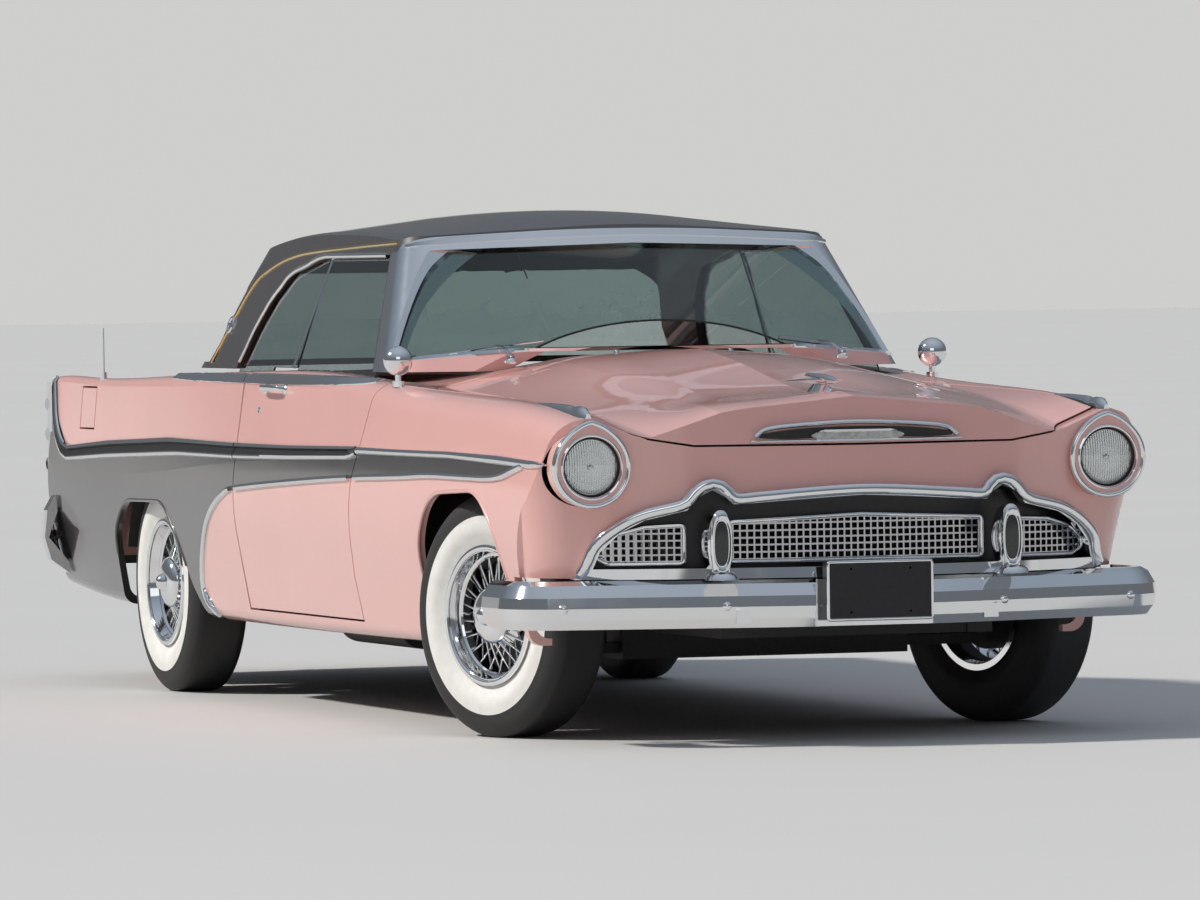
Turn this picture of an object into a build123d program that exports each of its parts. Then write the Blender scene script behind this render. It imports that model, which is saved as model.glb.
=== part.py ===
from build123d import *
import os
from math import cos, sin, radians

# A two-door pillarless hardtop of the mid 1950s. Millimetres, +Z up, nose towards -Y, ground at Z 0,
# centre line at X 0, middle of the overall length at Y 0. The car's left side is towards +X.

os.makedirs("parts", exist_ok=True)

# Running gear
front_axle_y = -1800
rear_axle_y = 1400
front_track = 1529
rear_track = 1514
tyre_r = 352
hub_z = tyre_r
tyre_w = 200
rim_r = 190
spindle_r = 17
steer_rest = 18
kingpin_x = 690
spoke_count = 22
spoke_r = 3

# Walls and clearances
skin = 20
gh_wall = 36
gap = 6
fit = 0.3
glass_t = 6
glass_depth = 14

# Doors, hood, lid and belt
belt_z = 1036
sill_z = 304
under_z = 330
door_y1 = 365
door_in_x = 788
door_lean = 18
hinge_x = 930
glass_split_y = 118
hood_y1 = -1140
hood_x0 = 784
hood_x1 = 748
lid_y0 = 1560
lid_x = 690
lid_z = 640
nose_x = 779
mouth_x = 815
mouth_z = 700
cowl_y1 = -730
fuel_y = 2190
fuel_z = 905
fuel_w = 170
fuel_h = 130

# Floor and frame
floor_z = 300
floor_t = 12
floor_x = 780
tunnel_x = 150
tunnel_h = 130
firewall_y = -1080
bulkhead_y = 1028
bulkhead_z = 900
boot_z = 530
rail_x = 335
rail_w = 75
rail_h = 90

# Bumpers, plate and lamps
half_length = 2800
half_width = 994
bumper_z0 = 332
bumper_z1 = 468
bracket_x = 372
bracket_z = 345
bracket_h = 40
plate_w = 310
plate_h = 160
plate_z = 433
plate_hole_x = 178
plate_hole_z = 121
plate_hole_r = 3.5
lamp_x = 779
lamp_y = -2560
lamp_z = 788
lamp_r = 84
dome_r = 205
bezel_r = 113
bezel_peak = 130
pod_x = 437
pod_y = -2702
pod_z = 567
pod_back = -2642

# Grille
mouth_mid_z = 566
mesh_pitch = 20
mesh_hole = 15
mesh_edge = 8
mesh_depth = 40
mesh_t = 18
tray_t = 6
surround_depth = 26

# Steering
wheel_x = 370
wheel_y = -500
wheel_z = 900
wheel_tilt = 25
column_r = 27
column_len = 560

# Body stations along the car. Every row gives the half width and height of the sill, of the widest
# line, of the fender crest with its radius, of the foot inside the crest, of the crown's edge and the
# height on the centre line.
body_stations = (
    # y, sill_x, sill_z, side_x, side_z, crest_x, crest_z, crest_r, foot_x, foot_z, crown_x, crown_z, mid_z
    (-2800, 800, 300, 905, 610, 850, 944, 85, 600, 848, 330, 868, 880),
    (-2300, 838, 280, 932, 630, 872, 978, 95, 640, 912, 330, 965, 985),
    (-1750, 850, 262, 941, 650, 882, 998, 95, 690, 962, 330, 1032, 1052),
    (-1150, 862, 255, 945, 655, 886, 1010, 80, 735, 995, 330, 1082, 1104),
    (-450, 866, 252, 945, 655, 884, 1036, 50, 740, 1037, 330, 1038, 1039),
    (400, 866, 252, 936, 645, 880, 1037, 48, 740, 1038, 330, 1039, 1040),
    (1000, 862, 255, 918, 630, 868, 1026, 45, 735, 1024, 330, 1032, 1036),
    (1650, 852, 262, 901, 615, 860, 1016, 32, 735, 984, 400, 1010, 1018),
    (2200, 836, 280, 895, 610, 856, 1022, 26, 740, 950, 400, 978, 988),
    (2800, 806, 320, 884, 620, 850, 1022, 24, 745, 915, 400, 935, 942),
)

# Plan of the ends at two heights: place of the nose, of the fenders' faces and their half width,
# of the fender corner, and the same at the tail.
plan_levels = (
    # z, nose_y, face_y, face_x, corner_y, tail_mid_y, tail_y, tail_x
    (200, -2770, -2395, 800, -2200, 2712, 2640, 800),
    (1100, -2575, -2625, 790, -2380, 2690, 2660, 800),
)

# Greenhouse plan at two heights: places of the points of an outline with rounded corners
gh_levels = (
    # z, front_mid_y, front_x, front_y, rear_x, rear_y, rear_mid_y, front_mid_r, front_r, rear_r, rear_mid_r
    (1036, -1262, 822, -905, 792, 1290, 1540, 900, 150, 240, 1300),
    (1410, -810, 690, -655, 668, 930, 1055, 1600, 120, 200, 2000),
)

# Roof stations: place along the car, height of the edge and of the centre line
roof_stations = (
    # y, edge_z, mid_z
    (-1000, 1395, 1440),
    (-700, 1436, 1482),
    (-300, 1456, 1534),
    (200, 1458, 1546),
    (600, 1440, 1530),
    (900, 1396, 1480),
    (1200, 1310, 1378),
    (1500, 1200, 1250),
)

# Shut line at the door's front edge, from the cowl down to the sill
door_front = (
    # y, z
    (-970, 1010), (-907, 852), (-846, 718), (-812, 560), (-778, 430), (-785, 304),
)

# Wheel openings in the side, round the axle: place ahead (-) or behind (+), height, corner radius
front_arch = (
    # y, z, radius
    (350, 100, 5), (382, 520, 200), (230, 700, 250), (-190, 716, 250), (-330, 600, 250), (-395, 400, 100),
    (-420, 100, 5),
)
rear_arch = (
    # y, z, radius
    (440, 100, 5), (455, 500, 130), (300, 612, 250), (-180, 618, 200), (-300, 520, 200), (-420, 355, 200),
    (-640, 180, 100), (-660, 100, 5),
)

# The grille surround's outer edge from the fender to the centre line
grille_rows = (
    # x, z
    (800, 470), (786, 500), (765, 563), (706, 627), (634, 665), (526, 690), (500, 722), (437, 752),
    (384, 722), (370, 708), (0, 728),
)
mesh_side = ((502, 513), (702, 513), (736, 530), (736, 556), (690, 594), (610, 616), (502, 621))
mesh_centre = ((-381, 516), (381, 516), (381, 628), (0, 644), (-381, 628))

# Frame rail seen from the side
rail_line = (
    # y, z of the rail's underside
    (-2610, 300), (-1500, 300), (-1250, 205), (1050, 205), (1230, 425), (1600, 425), (1800, 335),
    (2560, 335),
)
cross_members = (
    # y, z, depth
    (-2600, 300, 80), (-1250, 215, 90), (-200, 210, 80), (950, 215, 90), (1820, 335, 80), (2500, 335, 60),
)
far = 3000


def block(low, high, mode=Mode.ADD):
    """A box between two corners, in the part that is being built."""
    centre = tuple((a + b) / 2 for a, b in zip(low, high))
    with Locations(centre):
        Box(*(b - a for a, b in zip(low, high)), mode=mode)


def prism(plane, points, amount, radius=None, both=False, mode=Mode.ADD):
    """A straight block with a polygon for its outline, in the part that is being built."""
    with BuildSketch(plane) as outline:
        with BuildLine():
            if radius is None:
                Polyline(*points, close=True)
            else:
                FilletPolyline(*points, radius=radius, close=True)
        make_face()
    extrude(outline.sketch, amount=amount, both=both, mode=mode)


def rod(plane, radius, amount, mode=Mode.ADD):
    """A round bar along a plane's normal, in the part that is being built."""
    with BuildSketch(plane) as outline:
        Circle(radius)
    extrude(outline.sketch, amount=amount, mode=mode)


def body_space(inset):
    """The left half of the lower body as one solid, drawn in by the inset."""
    centre_x = -5 if inset else 0
    with BuildPart() as built:
        for y, bx, bz, sx, sz, cx, cz, cr, fx, fz, hx, hz, mz in body_stations:
            points = [
                (centre_x, bz + inset),
                (bx - inset, bz + inset),
                (sx - inset, sz),
                (cx - inset, cz - inset),
                (fx, fz - inset),
                (hx, hz - inset),
                (centre_x, mz - inset),
            ]
            radii = [0, 45, 700, max(cr - inset, 6), 90, 900, 0]
            with BuildSketch(Plane.XZ.offset(-y)):
                with BuildLine():
                    FilletPolyline(*points, radius=radii, close=True)
                make_face()
        loft()
    return built.part


def plan_lines(row, inset):
    """The plan of nose and tail at one height, as lines where they are drawn."""
    z, nose_y, face_y, face_x, corner_y, tail_mid_y, tail_y, tail_x = row
    wide = 1300
    side_y = corner_y + 400
    end_y = tail_y - inset
    nose = ThreePointArc((-face_x, face_y + inset), (0, nose_y + inset), (face_x, face_y + inset))
    left = JernArc(nose @ 1, nose % 1, 210, 62)
    right = JernArc(nose @ 0, -(nose % 0), 210, -62)
    Polyline(left @ 1, (wide, side_y), (wide, end_y), (tail_x, end_y))
    ThreePointArc((tail_x, end_y), (0, tail_mid_y - inset), (-tail_x, end_y))
    Polyline((-tail_x, end_y), (-wide, end_y), (-wide, side_y), right @ 1)


def plan_space(inset):
    """The space inside the nose and tail outlines."""
    with BuildPart() as built:
        for row in plan_levels:
            with BuildSketch(Plane.XY.offset(row[0])):
                with BuildLine():
                    plan_lines(row, inset)
                make_face()
        loft(ruled=True)
    return built.part


def upright_layer(outer, inner):
    """An upright skin behind the nose at the grille's height, between two depths."""
    low, high = plan_levels
    share = (mouth_mid_z - low[0]) / (high[0] - low[0])
    row = [a + (b - a) * share for a, b in zip(low, high)]
    with BuildPart() as built:
        with BuildSketch(Plane.XY.offset(440)) as band:
            with BuildLine():
                plan_lines(row, outer)
            make_face()
            with BuildLine():
                plan_lines(row, inner)
            make_face(mode=Mode.SUBTRACT)
        extrude(band.sketch, amount=340)
    return built.part


def gh_row(z):
    """A greenhouse outline at any height, in line with the two that are given."""
    low, high = gh_levels
    share = (z - low[0]) / (high[0] - low[0])
    return [a + (b - a) * share for a, b in zip(low, high)]


def gh_points(row, inset):
    z, fm, fx, fy, rx, ry, rm, fmr, fr, rr, rmr = row
    points = [
        (0, fm + inset),
        (fx - inset, fy + inset),
        (rx - inset, ry - inset),
        (0, rm - inset),
        (inset - rx, ry - inset),
        (inset - fx, fy + inset),
    ]
    return points, [fmr, fr - inset, rr - inset, rmr, rr - inset, fr - inset]


def greenhouse(inset):
    """The closed form of windows and roof, drawn in by the inset."""
    top = gh_levels[1]
    high_row = gh_row(1560)
    high_row[7:] = top[7:]
    with BuildPart() as upper:
        for row in (top, high_row):
            points, radii = gh_points(row, inset)
            with BuildSketch(Plane.XY.offset(row[0])):
                with BuildLine():
                    FilletPolyline(*points, radius=radii, close=True)
                make_face()
        loft(ruled=True)
    with BuildPart() as roof_space:
        for y, edge_z, mid_z in roof_stations:
            edge_x = 850 - (edge_z - 1000) * 0.333 - inset
            points = [
                (-860, 960), (860, 960), (edge_x, edge_z - inset), (0, mid_z - inset), (-edge_x, edge_z - inset),
            ]
            with BuildSketch(Plane.XZ.offset(-y)):
                with BuildLine():
                    FilletPolyline(*points, radius=[8, 8, 110 - inset, 2600, 110 - inset], close=True)
                make_face()
        loft()
    with BuildPart() as built:
        for row in (gh_row(belt_z - 60), top):
            points, radii = gh_points(row, inset)
            with BuildSketch(Plane.XY.offset(row[0])):
                with BuildLine():
                    FilletPolyline(*points, radius=radii, close=True)
                make_face()
        loft(ruled=True)
        add(upper.part)
        add(roof_space.part, mode=Mode.INTERSECT)
    return built.part


def hood_space(grow):
    """The room of the hood's left half, wider by the given amount."""
    with BuildPart() as built:
        prism(
            Plane.XY.offset(700),
            [
                (-10, -far), (hood_x0 + grow, -far), (hood_x0 + grow, -2150),
                (hood_x1 + grow, hood_y1 + grow), (-10, hood_y1 + grow),
            ],
            500,
        )
        prism(
            Plane.XZ.offset(900),
            [
                (-10, 843 - grow), (480, 845 - grow), (610, 866 - grow), (hood_x0 + 60, 960 - grow),
                (hood_x0 + 60, 1300), (-10, 1300),
            ],
            2100,
            mode=Mode.INTERSECT,
        )
    return built.part


def door_space(grow):
    """The room of the left door, wider by the given amount."""
    side = [(y - grow, z) for y, z in door_front]
    side[0] = (side[0][0], 1300)
    side[-1] = (side[-1][0], sill_z - grow)
    side.insert(1, (door_front[0][0] - grow, door_front[0][1]))
    with BuildPart() as built:
        prism(
            Plane.YZ.offset(600),
            side + [(door_y1 + grow, sill_z - grow), (door_y1 + grow, 1300)],
            500,
        )
        prism(
            Plane.XY,
            [
                (door_in_x - grow, -1200), (1100, -1200), (1100, door_y1 + grow), (hinge_x, door_y1 + grow),
                (door_in_x - grow, door_y1 - door_lean + grow),
            ],
            1400,
            mode=Mode.INTERSECT,
        )
    return built.part


def arch(rows, axle_y):
    """The room of a wheel opening, through the left side."""
    with BuildPart() as built:
        prism(
            Plane.YZ.offset(500),
            [(axle_y + y, z) for y, z, r in rows],
            600,
            radius=[r for y, z, r in rows],
        )
    return built.part


def lamp_outline(grow):
    """The peaked outline of a headlight's bezel, as a sketch on the plane it is made in."""
    r = bezel_r + grow
    with BuildSketch(Plane.XZ.offset(-lamp_y - 30)) as outline:
        with Locations((lamp_x, lamp_z)):
            Circle(r)
        with BuildLine():
            Polyline(
                (lamp_x - 0.72 * r, lamp_z + 0.68 * r), (lamp_x, lamp_z + bezel_peak + grow),
                (lamp_x + 0.72 * r, lamp_z + 0.68 * r), (lamp_x, lamp_z), close=True,
            )
        make_face()
    return outline.sketch


def grille_space(grow):
    """The room behind the opening under the nose, wider by the given amount."""
    points = list(grille_rows) + [(-x, z) for x, z in reversed(grille_rows[:-1])]
    with BuildSketch(Plane.XZ.offset(2200)) as outline:
        with BuildLine():
            Polyline(*points, close=True)
        make_face()
        if grow:
            offset(amount=grow, kind=Kind.INTERSECTION, mode=Mode.REPLACE)
    with BuildPart() as built:
        extrude(outline.sketch, amount=700)
    return built.part


def layer(outer, inner):
    """A skin that follows the nose, between two depths behind it."""
    with BuildPart() as built:
        add(plan_space(outer))
        add(plan_space(inner), mode=Mode.SUBTRACT)
    return built.part


# The lower body's left half, solid and as a shell, and the rooms that the moving panels take
with BuildPart() as body:
    add(body_space(0))
    add(plan_space(0), mode=Mode.INTERSECT)
with BuildPart() as hollow:
    add(body_space(skin))
    add(plan_space(skin), mode=Mode.INTERSECT)
with BuildPart() as shell:
    add(body.part)
    add(hollow.part, mode=Mode.SUBTRACT)
hood_cut = hood_space(gap)
door_cut = door_space(gap)
cabin_points, cabin_radii = gh_points(gh_row(1090), gh_wall)
with BuildPart() as fixed:
    add(shell.part)
    add(hood_cut, mode=Mode.SUBTRACT)
    block((-10, lid_y0 - gap, lid_z - gap), (lid_x + gap, far, 1300), mode=Mode.SUBTRACT)
    block((-10, -far, 100), (floor_x, far, under_z), mode=Mode.SUBTRACT)
    prism(Plane.XY.offset(250), cabin_points, 1000, radius=cabin_radii, mode=Mode.SUBTRACT)
    block((-10, -896, 250), (door_in_x - gap, door_y1 + gap, 1250), mode=Mode.SUBTRACT)
    extrude(lamp_outline(0), amount=150, both=True, mode=Mode.SUBTRACT)

# Front end
with BuildPart() as front:
    add(fixed.part)
    block((-10, -far, 0), (1100, -700, 1300), mode=Mode.INTERSECT)
    add(door_cut, mode=Mode.SUBTRACT)
    block((-10, door_front[-1][0] - gap, 0), (1100, 0, sill_z), mode=Mode.SUBTRACT)
    block((-10, -far, 100), (1000, -2232, bumper_z1 + gap), mode=Mode.SUBTRACT)
    add(arch(front_arch, front_axle_y), mode=Mode.SUBTRACT)
with BuildPart() as front_fender_left:
    add(front.part)
    block((-10, hood_y1 + gap, 800), (hood_x0 + gap, cowl_y1, 1300), mode=Mode.SUBTRACT)
    block((-10, -far, 0), (nose_x, -2200, 1300), mode=Mode.SUBTRACT)
    block((-10, -far, 0), (mouth_x, -2200, mouth_z), mode=Mode.SUBTRACT)
    block((-10, -900, 0), (door_in_x - gap, 0, 1300), mode=Mode.SUBTRACT)
front_fender_left.part.label = "front_fender_left"
export_step(front_fender_left.part, "parts/front_fender_left.step")
with BuildPart() as front_fender_right:
    mirror(front_fender_left.part, about=Plane.YZ)
front_fender_right.part.label = "front_fender_right"
export_step(front_fender_right.part, "parts/front_fender_right.step")

with BuildPart() as nose_room:
    block((-10, -far, 0), (nose_x, -2200, 1300))
    block((-10, -far, 0), (mouth_x, -2200, mouth_z))
with BuildPart() as nose_panel:
    add(front.part)
    add(nose_room.part, mode=Mode.INTERSECT)
    mirror(about=Plane.YZ)
    add(grille_space(0), mode=Mode.SUBTRACT)
nose_panel.part.label = "nose_panel"
export_step(nose_panel.part, "parts/nose_panel.step")

with BuildPart() as cowl_half:
    add(fixed.part)
    block((-10, hood_y1 + gap, 800), (hood_x0 + gap, cowl_y1, 1300), mode=Mode.INTERSECT)
    add(door_cut, mode=Mode.SUBTRACT)
with BuildPart() as cowl:
    add(cowl_half.part)
    mirror(about=Plane.YZ)
cowl.part.label = "cowl"
export_step(cowl.part, "parts/cowl.step")

with BuildPart() as hood:
    add(shell.part)
    add(hood_space(0), mode=Mode.INTERSECT)
    mirror(about=Plane.YZ)
hood.part.label = "hood"
export_step(hood.part, "parts/hood.step")

# Doors, as thick as the whole door, and the sills that carry their hinges
with BuildPart() as door_left:
    add(body.part)
    add(door_space(0), mode=Mode.INTERSECT)
door_left.part.label = "door_left"
export_step(door_left.part, "parts/door_left.step")
with BuildPart() as door_right:
    mirror(door_left.part, about=Plane.YZ)
door_right.part.label = "door_right"
export_step(door_right.part, "parts/door_right.step")

# The sills carry the floor on a flange, and each has a pad that the door rests on by its hinge
sill_y0 = door_front[-1][0] - gap
sill_y1 = door_y1 + gap
flange_z = floor_z - 16
with BuildPart() as sills:
    add(body.part)
    block((floor_x, sill_y0, 0), (1100, sill_y1, sill_z - gap), mode=Mode.INTERSECT)
    block((floor_x - 40, sill_y0, flange_z), (floor_x + 40, sill_y1, sill_z - gap))
    block((floor_x - 40, sill_y0, flange_z), (door_in_x - gap, sill_y1, floor_z - fit))
    block((door_in_x + 12, sill_y0 + 26, flange_z), (door_in_x + 62, sill_y0 + 76, sill_z - fit))
    mirror(about=Plane.YZ)
sills.part.label = "sills"
export_step(sills.part, "parts/sills.step")

# Rear end
with BuildPart() as rear:
    add(fixed.part)
    block((-10, door_y1 + gap, 0), (1100, far, 1300), mode=Mode.INTERSECT)
    add(arch(rear_arch, rear_axle_y), mode=Mode.SUBTRACT)
with BuildPart() as rear_quarter_left:
    add(rear.part)
    block((-10, 1100, 700), (lid_x + gap, lid_y0 - gap, 1300), mode=Mode.SUBTRACT)
    block((-10, 2300, 100), (lid_x + gap, far, lid_z - gap), mode=Mode.SUBTRACT)
rear_quarter_left.part.label = "rear_quarter_left"
export_step(rear_quarter_left.part, "parts/rear_quarter_left.step")

fuel_low = (800, fuel_y - fuel_w / 2, fuel_z - fuel_h / 2)
fuel_high = (1000, fuel_y + fuel_w / 2, fuel_z + fuel_h / 2)
with BuildPart() as fuel_panel:
    add(rear_quarter_left.part)
    block(fuel_low, fuel_high, mode=Mode.INTERSECT)
with BuildPart() as fuel_door:
    mirror(fuel_panel.part, about=Plane.YZ)
fuel_door.part.label = "fuel_door"
export_step(fuel_door.part, "parts/fuel_door.step")

# The fuel door shuts on a stop that reaches from the quarter's inside under the door's free edge
stop_x = 845
with BuildPart() as stop_root:
    block((stop_x, fuel_high[1] + 1, fuel_z - 25), (1000, fuel_high[1] + 46, fuel_z + 25))
    add(body.part, mode=Mode.INTERSECT)
with BuildPart() as stop_tip:
    block((stop_x, fuel_high[1] - 30, fuel_z - 25), (1000, fuel_high[1] + gap + 5, fuel_z + 25))
    add(hollow.part, mode=Mode.INTERSECT)
with BuildPart() as quarter_with_hole:
    add(rear_quarter_left.part)
    block(
        (fuel_low[0], fuel_low[1] - gap, fuel_low[2] - gap), (fuel_high[0], fuel_high[1] + gap, fuel_high[2] + gap),
        mode=Mode.SUBTRACT,
    )
    with Locations((-skin / 2, gap, 0)):
        add(stop_root.part)
    with Locations((-fit, 0, 0)):
        add(stop_tip.part)
with BuildPart() as rear_quarter_right:
    mirror(quarter_with_hole.part, about=Plane.YZ)
rear_quarter_right.part.label = "rear_quarter_right"
export_step(rear_quarter_right.part, "parts/rear_quarter_right.step")

with BuildPart() as rear_deck:
    add(rear.part)
    block((-10, 1100, 700), (lid_x + gap, lid_y0 - gap, 1300), mode=Mode.INTERSECT)
    mirror(about=Plane.YZ)
rear_deck.part.label = "rear_deck"
export_step(rear_deck.part, "parts/rear_deck.step")

# The tail wall carries the lid's striker, which the lid's lower edge shuts on
with BuildPart() as tail_panel:
    add(rear.part)
    block((-10, 2300, 400), (lid_x + gap, far, lid_z - gap), mode=Mode.INTERSECT)
    block((-5, 2684, lid_z - 60), (30, 2698, lid_z - fit))
    mirror(about=Plane.YZ)
tail_panel.part.label = "tail_panel"
export_step(tail_panel.part, "parts/tail_panel.step")

with BuildPart() as trunk_lid:
    add(shell.part)
    block((-10, lid_y0, lid_z), (lid_x, far, 1300), mode=Mode.INTERSECT)
    mirror(about=Plane.YZ)
trunk_lid.part.label = "trunk_lid"
export_step(trunk_lid.part, "parts/trunk_lid.step")
print("panels written")

# Grille: bright surround, pods, square mesh and the dark tray behind
with BuildPart() as pod:
    with BuildSketch(Plane.XZ.offset(-pod_back)):
        with Locations((pod_x, pod_z)):
            Ellipse(39, 92)
    extrude(amount=pod_back - pod_y)
    fillet(pod.faces().sort_by(Axis.Y)[0].edges(), 14)
    with BuildSketch(Plane.XZ.offset(-pod_back)):
        with Locations((pod_x, (pod_z + bumper_z1 + fit) / 2)):
            Rectangle(52, pod_z - bumper_z1 - fit)
    extrude(amount=pod_back - pod_y - 8)
with BuildPart() as parking_lights:
    add(pod.part)
    mirror(about=Plane.YZ)
parking_lights.part.label = "parking_lights"
export_step(parking_lights.part, "parts/parking_lights.step")

with BuildPart() as grille_surround:
    add(grille_space(-fit))
    add(grille_space(-30), mode=Mode.SUBTRACT)
    add(layer(-16, surround_depth), mode=Mode.INTERSECT)
    add(parking_lights.part, mode=Mode.SUBTRACT)
grille_surround.part.label = "grille_surround"
export_step(grille_surround.part, "parts/grille_surround.step")


def mesh_faces(points, columns, rows, shift):
    """The outline of a mesh panel with its square holes, and the panel's inner outline."""
    middle = ((points[0][0] + points[-1][0]) / 2 + shift, (points[0][1] + points[-1][1]) / 2)
    with BuildSketch(Plane.XZ.offset(2300)) as inner:
        with BuildLine():
            Polyline(*points, close=True)
        make_face()
        offset(amount=-mesh_edge, kind=Kind.INTERSECTION, mode=Mode.REPLACE)
    with BuildSketch(Plane.XZ.offset(2300)) as holes:
        with Locations(middle):
            with GridLocations(mesh_pitch, mesh_pitch, columns, rows):
                Rectangle(mesh_hole, mesh_hole)
        add(inner.sketch, mode=Mode.INTERSECT)
    with BuildSketch(Plane.XZ.offset(2300)) as panel:
        with BuildLine():
            Polyline(*points, close=True)
        make_face()
        add(holes.sketch, mode=Mode.SUBTRACT)
    return panel.sketch, inner.sketch


side_panel, side_inner = mesh_faces(mesh_side, 13, 7, 117)
centre_panel, centre_inner = mesh_faces(mesh_centre, 39, 7, 381)
with BuildPart() as grille_mesh:
    extrude(side_panel, amount=500)
    extrude(centre_panel, amount=500)
    block((0, -far, 400), (900, 0, 800), mode=Mode.INTERSECT)
    add(upright_layer(mesh_depth, mesh_depth + mesh_t), mode=Mode.INTERSECT)
    mirror(about=Plane.YZ)
grille_mesh.part.label = "grille_mesh"
export_step(grille_mesh.part, "parts/grille_mesh.step")

tray_depth = mesh_depth + mesh_t + fit
with BuildPart() as grille_tray:
    add(grille_space(14))
    add(grille_space(8), mode=Mode.SUBTRACT)
    add(layer(surround_depth + fit, tray_depth + tray_t), mode=Mode.INTERSECT)
    with BuildPart(mode=Mode.PRIVATE) as tray_back:
        add(grille_space(10))
        add(upright_layer(tray_depth, tray_depth + tray_t), mode=Mode.INTERSECT)
        add(plan_space(surround_depth + fit), mode=Mode.INTERSECT)
        extrude(side_inner, amount=500, mode=Mode.SUBTRACT)
        extrude(centre_inner, amount=500, mode=Mode.SUBTRACT)
        extrude(mirror(side_inner, about=Plane.YZ, mode=Mode.PRIVATE), amount=500, mode=Mode.SUBTRACT)
    add(tray_back.part)
    block((-1000, -far, 0), (1000, 0, bumper_z1 + gap), mode=Mode.SUBTRACT)
grille_tray.part.label = "grille_tray"
export_step(grille_tray.part, "parts/grille_tray.step")
print("grille written")

# Greenhouse: windows are openings in its wall, and the glass is a thin layer inside that wall
with BuildPart() as gh_shell:
    add(greenhouse(0))
    add(greenhouse(gh_wall), mode=Mode.SUBTRACT)
    block((-1000, -1500, belt_z + gap), (1000, 2000, 1700), mode=Mode.INTERSECT)
with BuildPart() as glass_wall:
    add(greenhouse(glass_depth))
    add(greenhouse(glass_depth + glass_t), mode=Mode.SUBTRACT)


def side_opening(grow):
    """The side windows' room, seen from the side."""
    with BuildPart() as built:
        prism(
            Plane.YZ.offset(-1000),
            [
                (-722 - grow, 900), (-722 - grow, 1040), (-528 - grow, 1392 + grow), (165, 1392 + grow),
                (470, 1338 + grow), (600, 1255 + grow), (680, 1160 + grow), (745 + grow, 1040),
                (745 + grow, 900),
            ],
            2000,
        )
    return built.part


with BuildPart() as front_opening:
    prism(
        Plane.XZ.offset(1400),
        [
            (-900, 1064), (-520, 1100), (0, 1116), (520, 1100), (900, 1064), (900, 1384), (600, 1404),
            (0, 1420), (-600, 1404), (-900, 1384),
        ],
        -800,
    )
    prism(
        Plane.YZ.offset(-1000),
        [(-1500, 1000), (-835, 1000), (-835, 1064), (-652, 1450), (-1500, 1450)],
        2000,
        mode=Mode.INTERSECT,
    )
with BuildPart() as rear_opening:
    prism(
        Plane.YZ.offset(-1000),
        [(1000, 1062), (1000, 1150), (905, 1285), (950, 1338), (1700, 1338), (1700, 1062)],
        2000,
    )
with BuildPart() as pillar_room:
    prism(
        Plane.YZ.offset(-1000),
        [
            (-1500, 900), (-728, 900), (-728, 1040), (-534, 1392), (-560, 1412), (-726, 1470),
            (-726, 1560), (-1500, 1560),
        ],
        2000,
    )

with BuildPart() as windshield_frame:
    add(gh_shell.part)
    add(pillar_room.part, mode=Mode.INTERSECT)
    add(front_opening.part, mode=Mode.SUBTRACT)
    add(cowl.part, mode=Mode.SUBTRACT)
windshield_frame.part.label = "windshield_frame"
export_step(windshield_frame.part, "parts/windshield_frame.step")

with BuildPart() as roof:
    add(gh_shell.part)
    add(pillar_room.part, mode=Mode.SUBTRACT)
    add(rear_opening.part, mode=Mode.SUBTRACT)
    add(side_opening(0), mode=Mode.SUBTRACT)
roof.part.label = "roof"
export_step(roof.part, "parts/roof.step")

with BuildPart() as windshield:
    add(glass_wall.part)
    block((-1000, -1500, belt_z + gap), (1000, 2000, 1700), mode=Mode.INTERSECT)
    add(front_opening.part, mode=Mode.INTERSECT)
windshield.part.label = "windshield"
export_step(windshield.part, "parts/windshield.step")

with BuildPart() as rear_window:
    add(glass_wall.part)
    block((-1000, -1500, belt_z + gap), (1000, 2000, 1700), mode=Mode.INTERSECT)
    add(rear_opening.part, mode=Mode.INTERSECT)
rear_window.part.label = "rear_window"
export_step(rear_window.part, "parts/rear_window.step")

# The door glass stands in its door, and the quarter window on the body behind it
glass_z = belt_z - 14
with BuildPart() as door_glass_left:
    add(glass_wall.part)
    add(side_opening(-gap), mode=Mode.INTERSECT)
    block((0, -1000, glass_z), (1000, glass_split_y - 8, 1384), mode=Mode.INTERSECT)
    add(door_left.part, mode=Mode.SUBTRACT)
door_glass_left.part.label = "door_glass_left"
export_step(door_glass_left.part, "parts/door_glass_left.step")
with BuildPart() as door_glass_right:
    mirror(door_glass_left.part, about=Plane.YZ)
door_glass_right.part.label = "door_glass_right"
export_step(door_glass_right.part, "parts/door_glass_right.step")

with BuildPart() as quarter_windows:
    add(glass_wall.part)
    add(side_opening(-fit), mode=Mode.INTERSECT)
    block((0, glass_split_y + 8, glass_z), (1000, 1500, 1500), mode=Mode.INTERSECT)
    block((0, 0, 0), (1000, door_y1 + gap, belt_z + 2 * gap), mode=Mode.SUBTRACT)
    add(rear_quarter_left.part, mode=Mode.SUBTRACT)
    mirror(about=Plane.YZ)
quarter_windows.part.label = "quarter_windows"
export_step(quarter_windows.part, "parts/quarter_windows.step")
print("greenhouse written")

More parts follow.
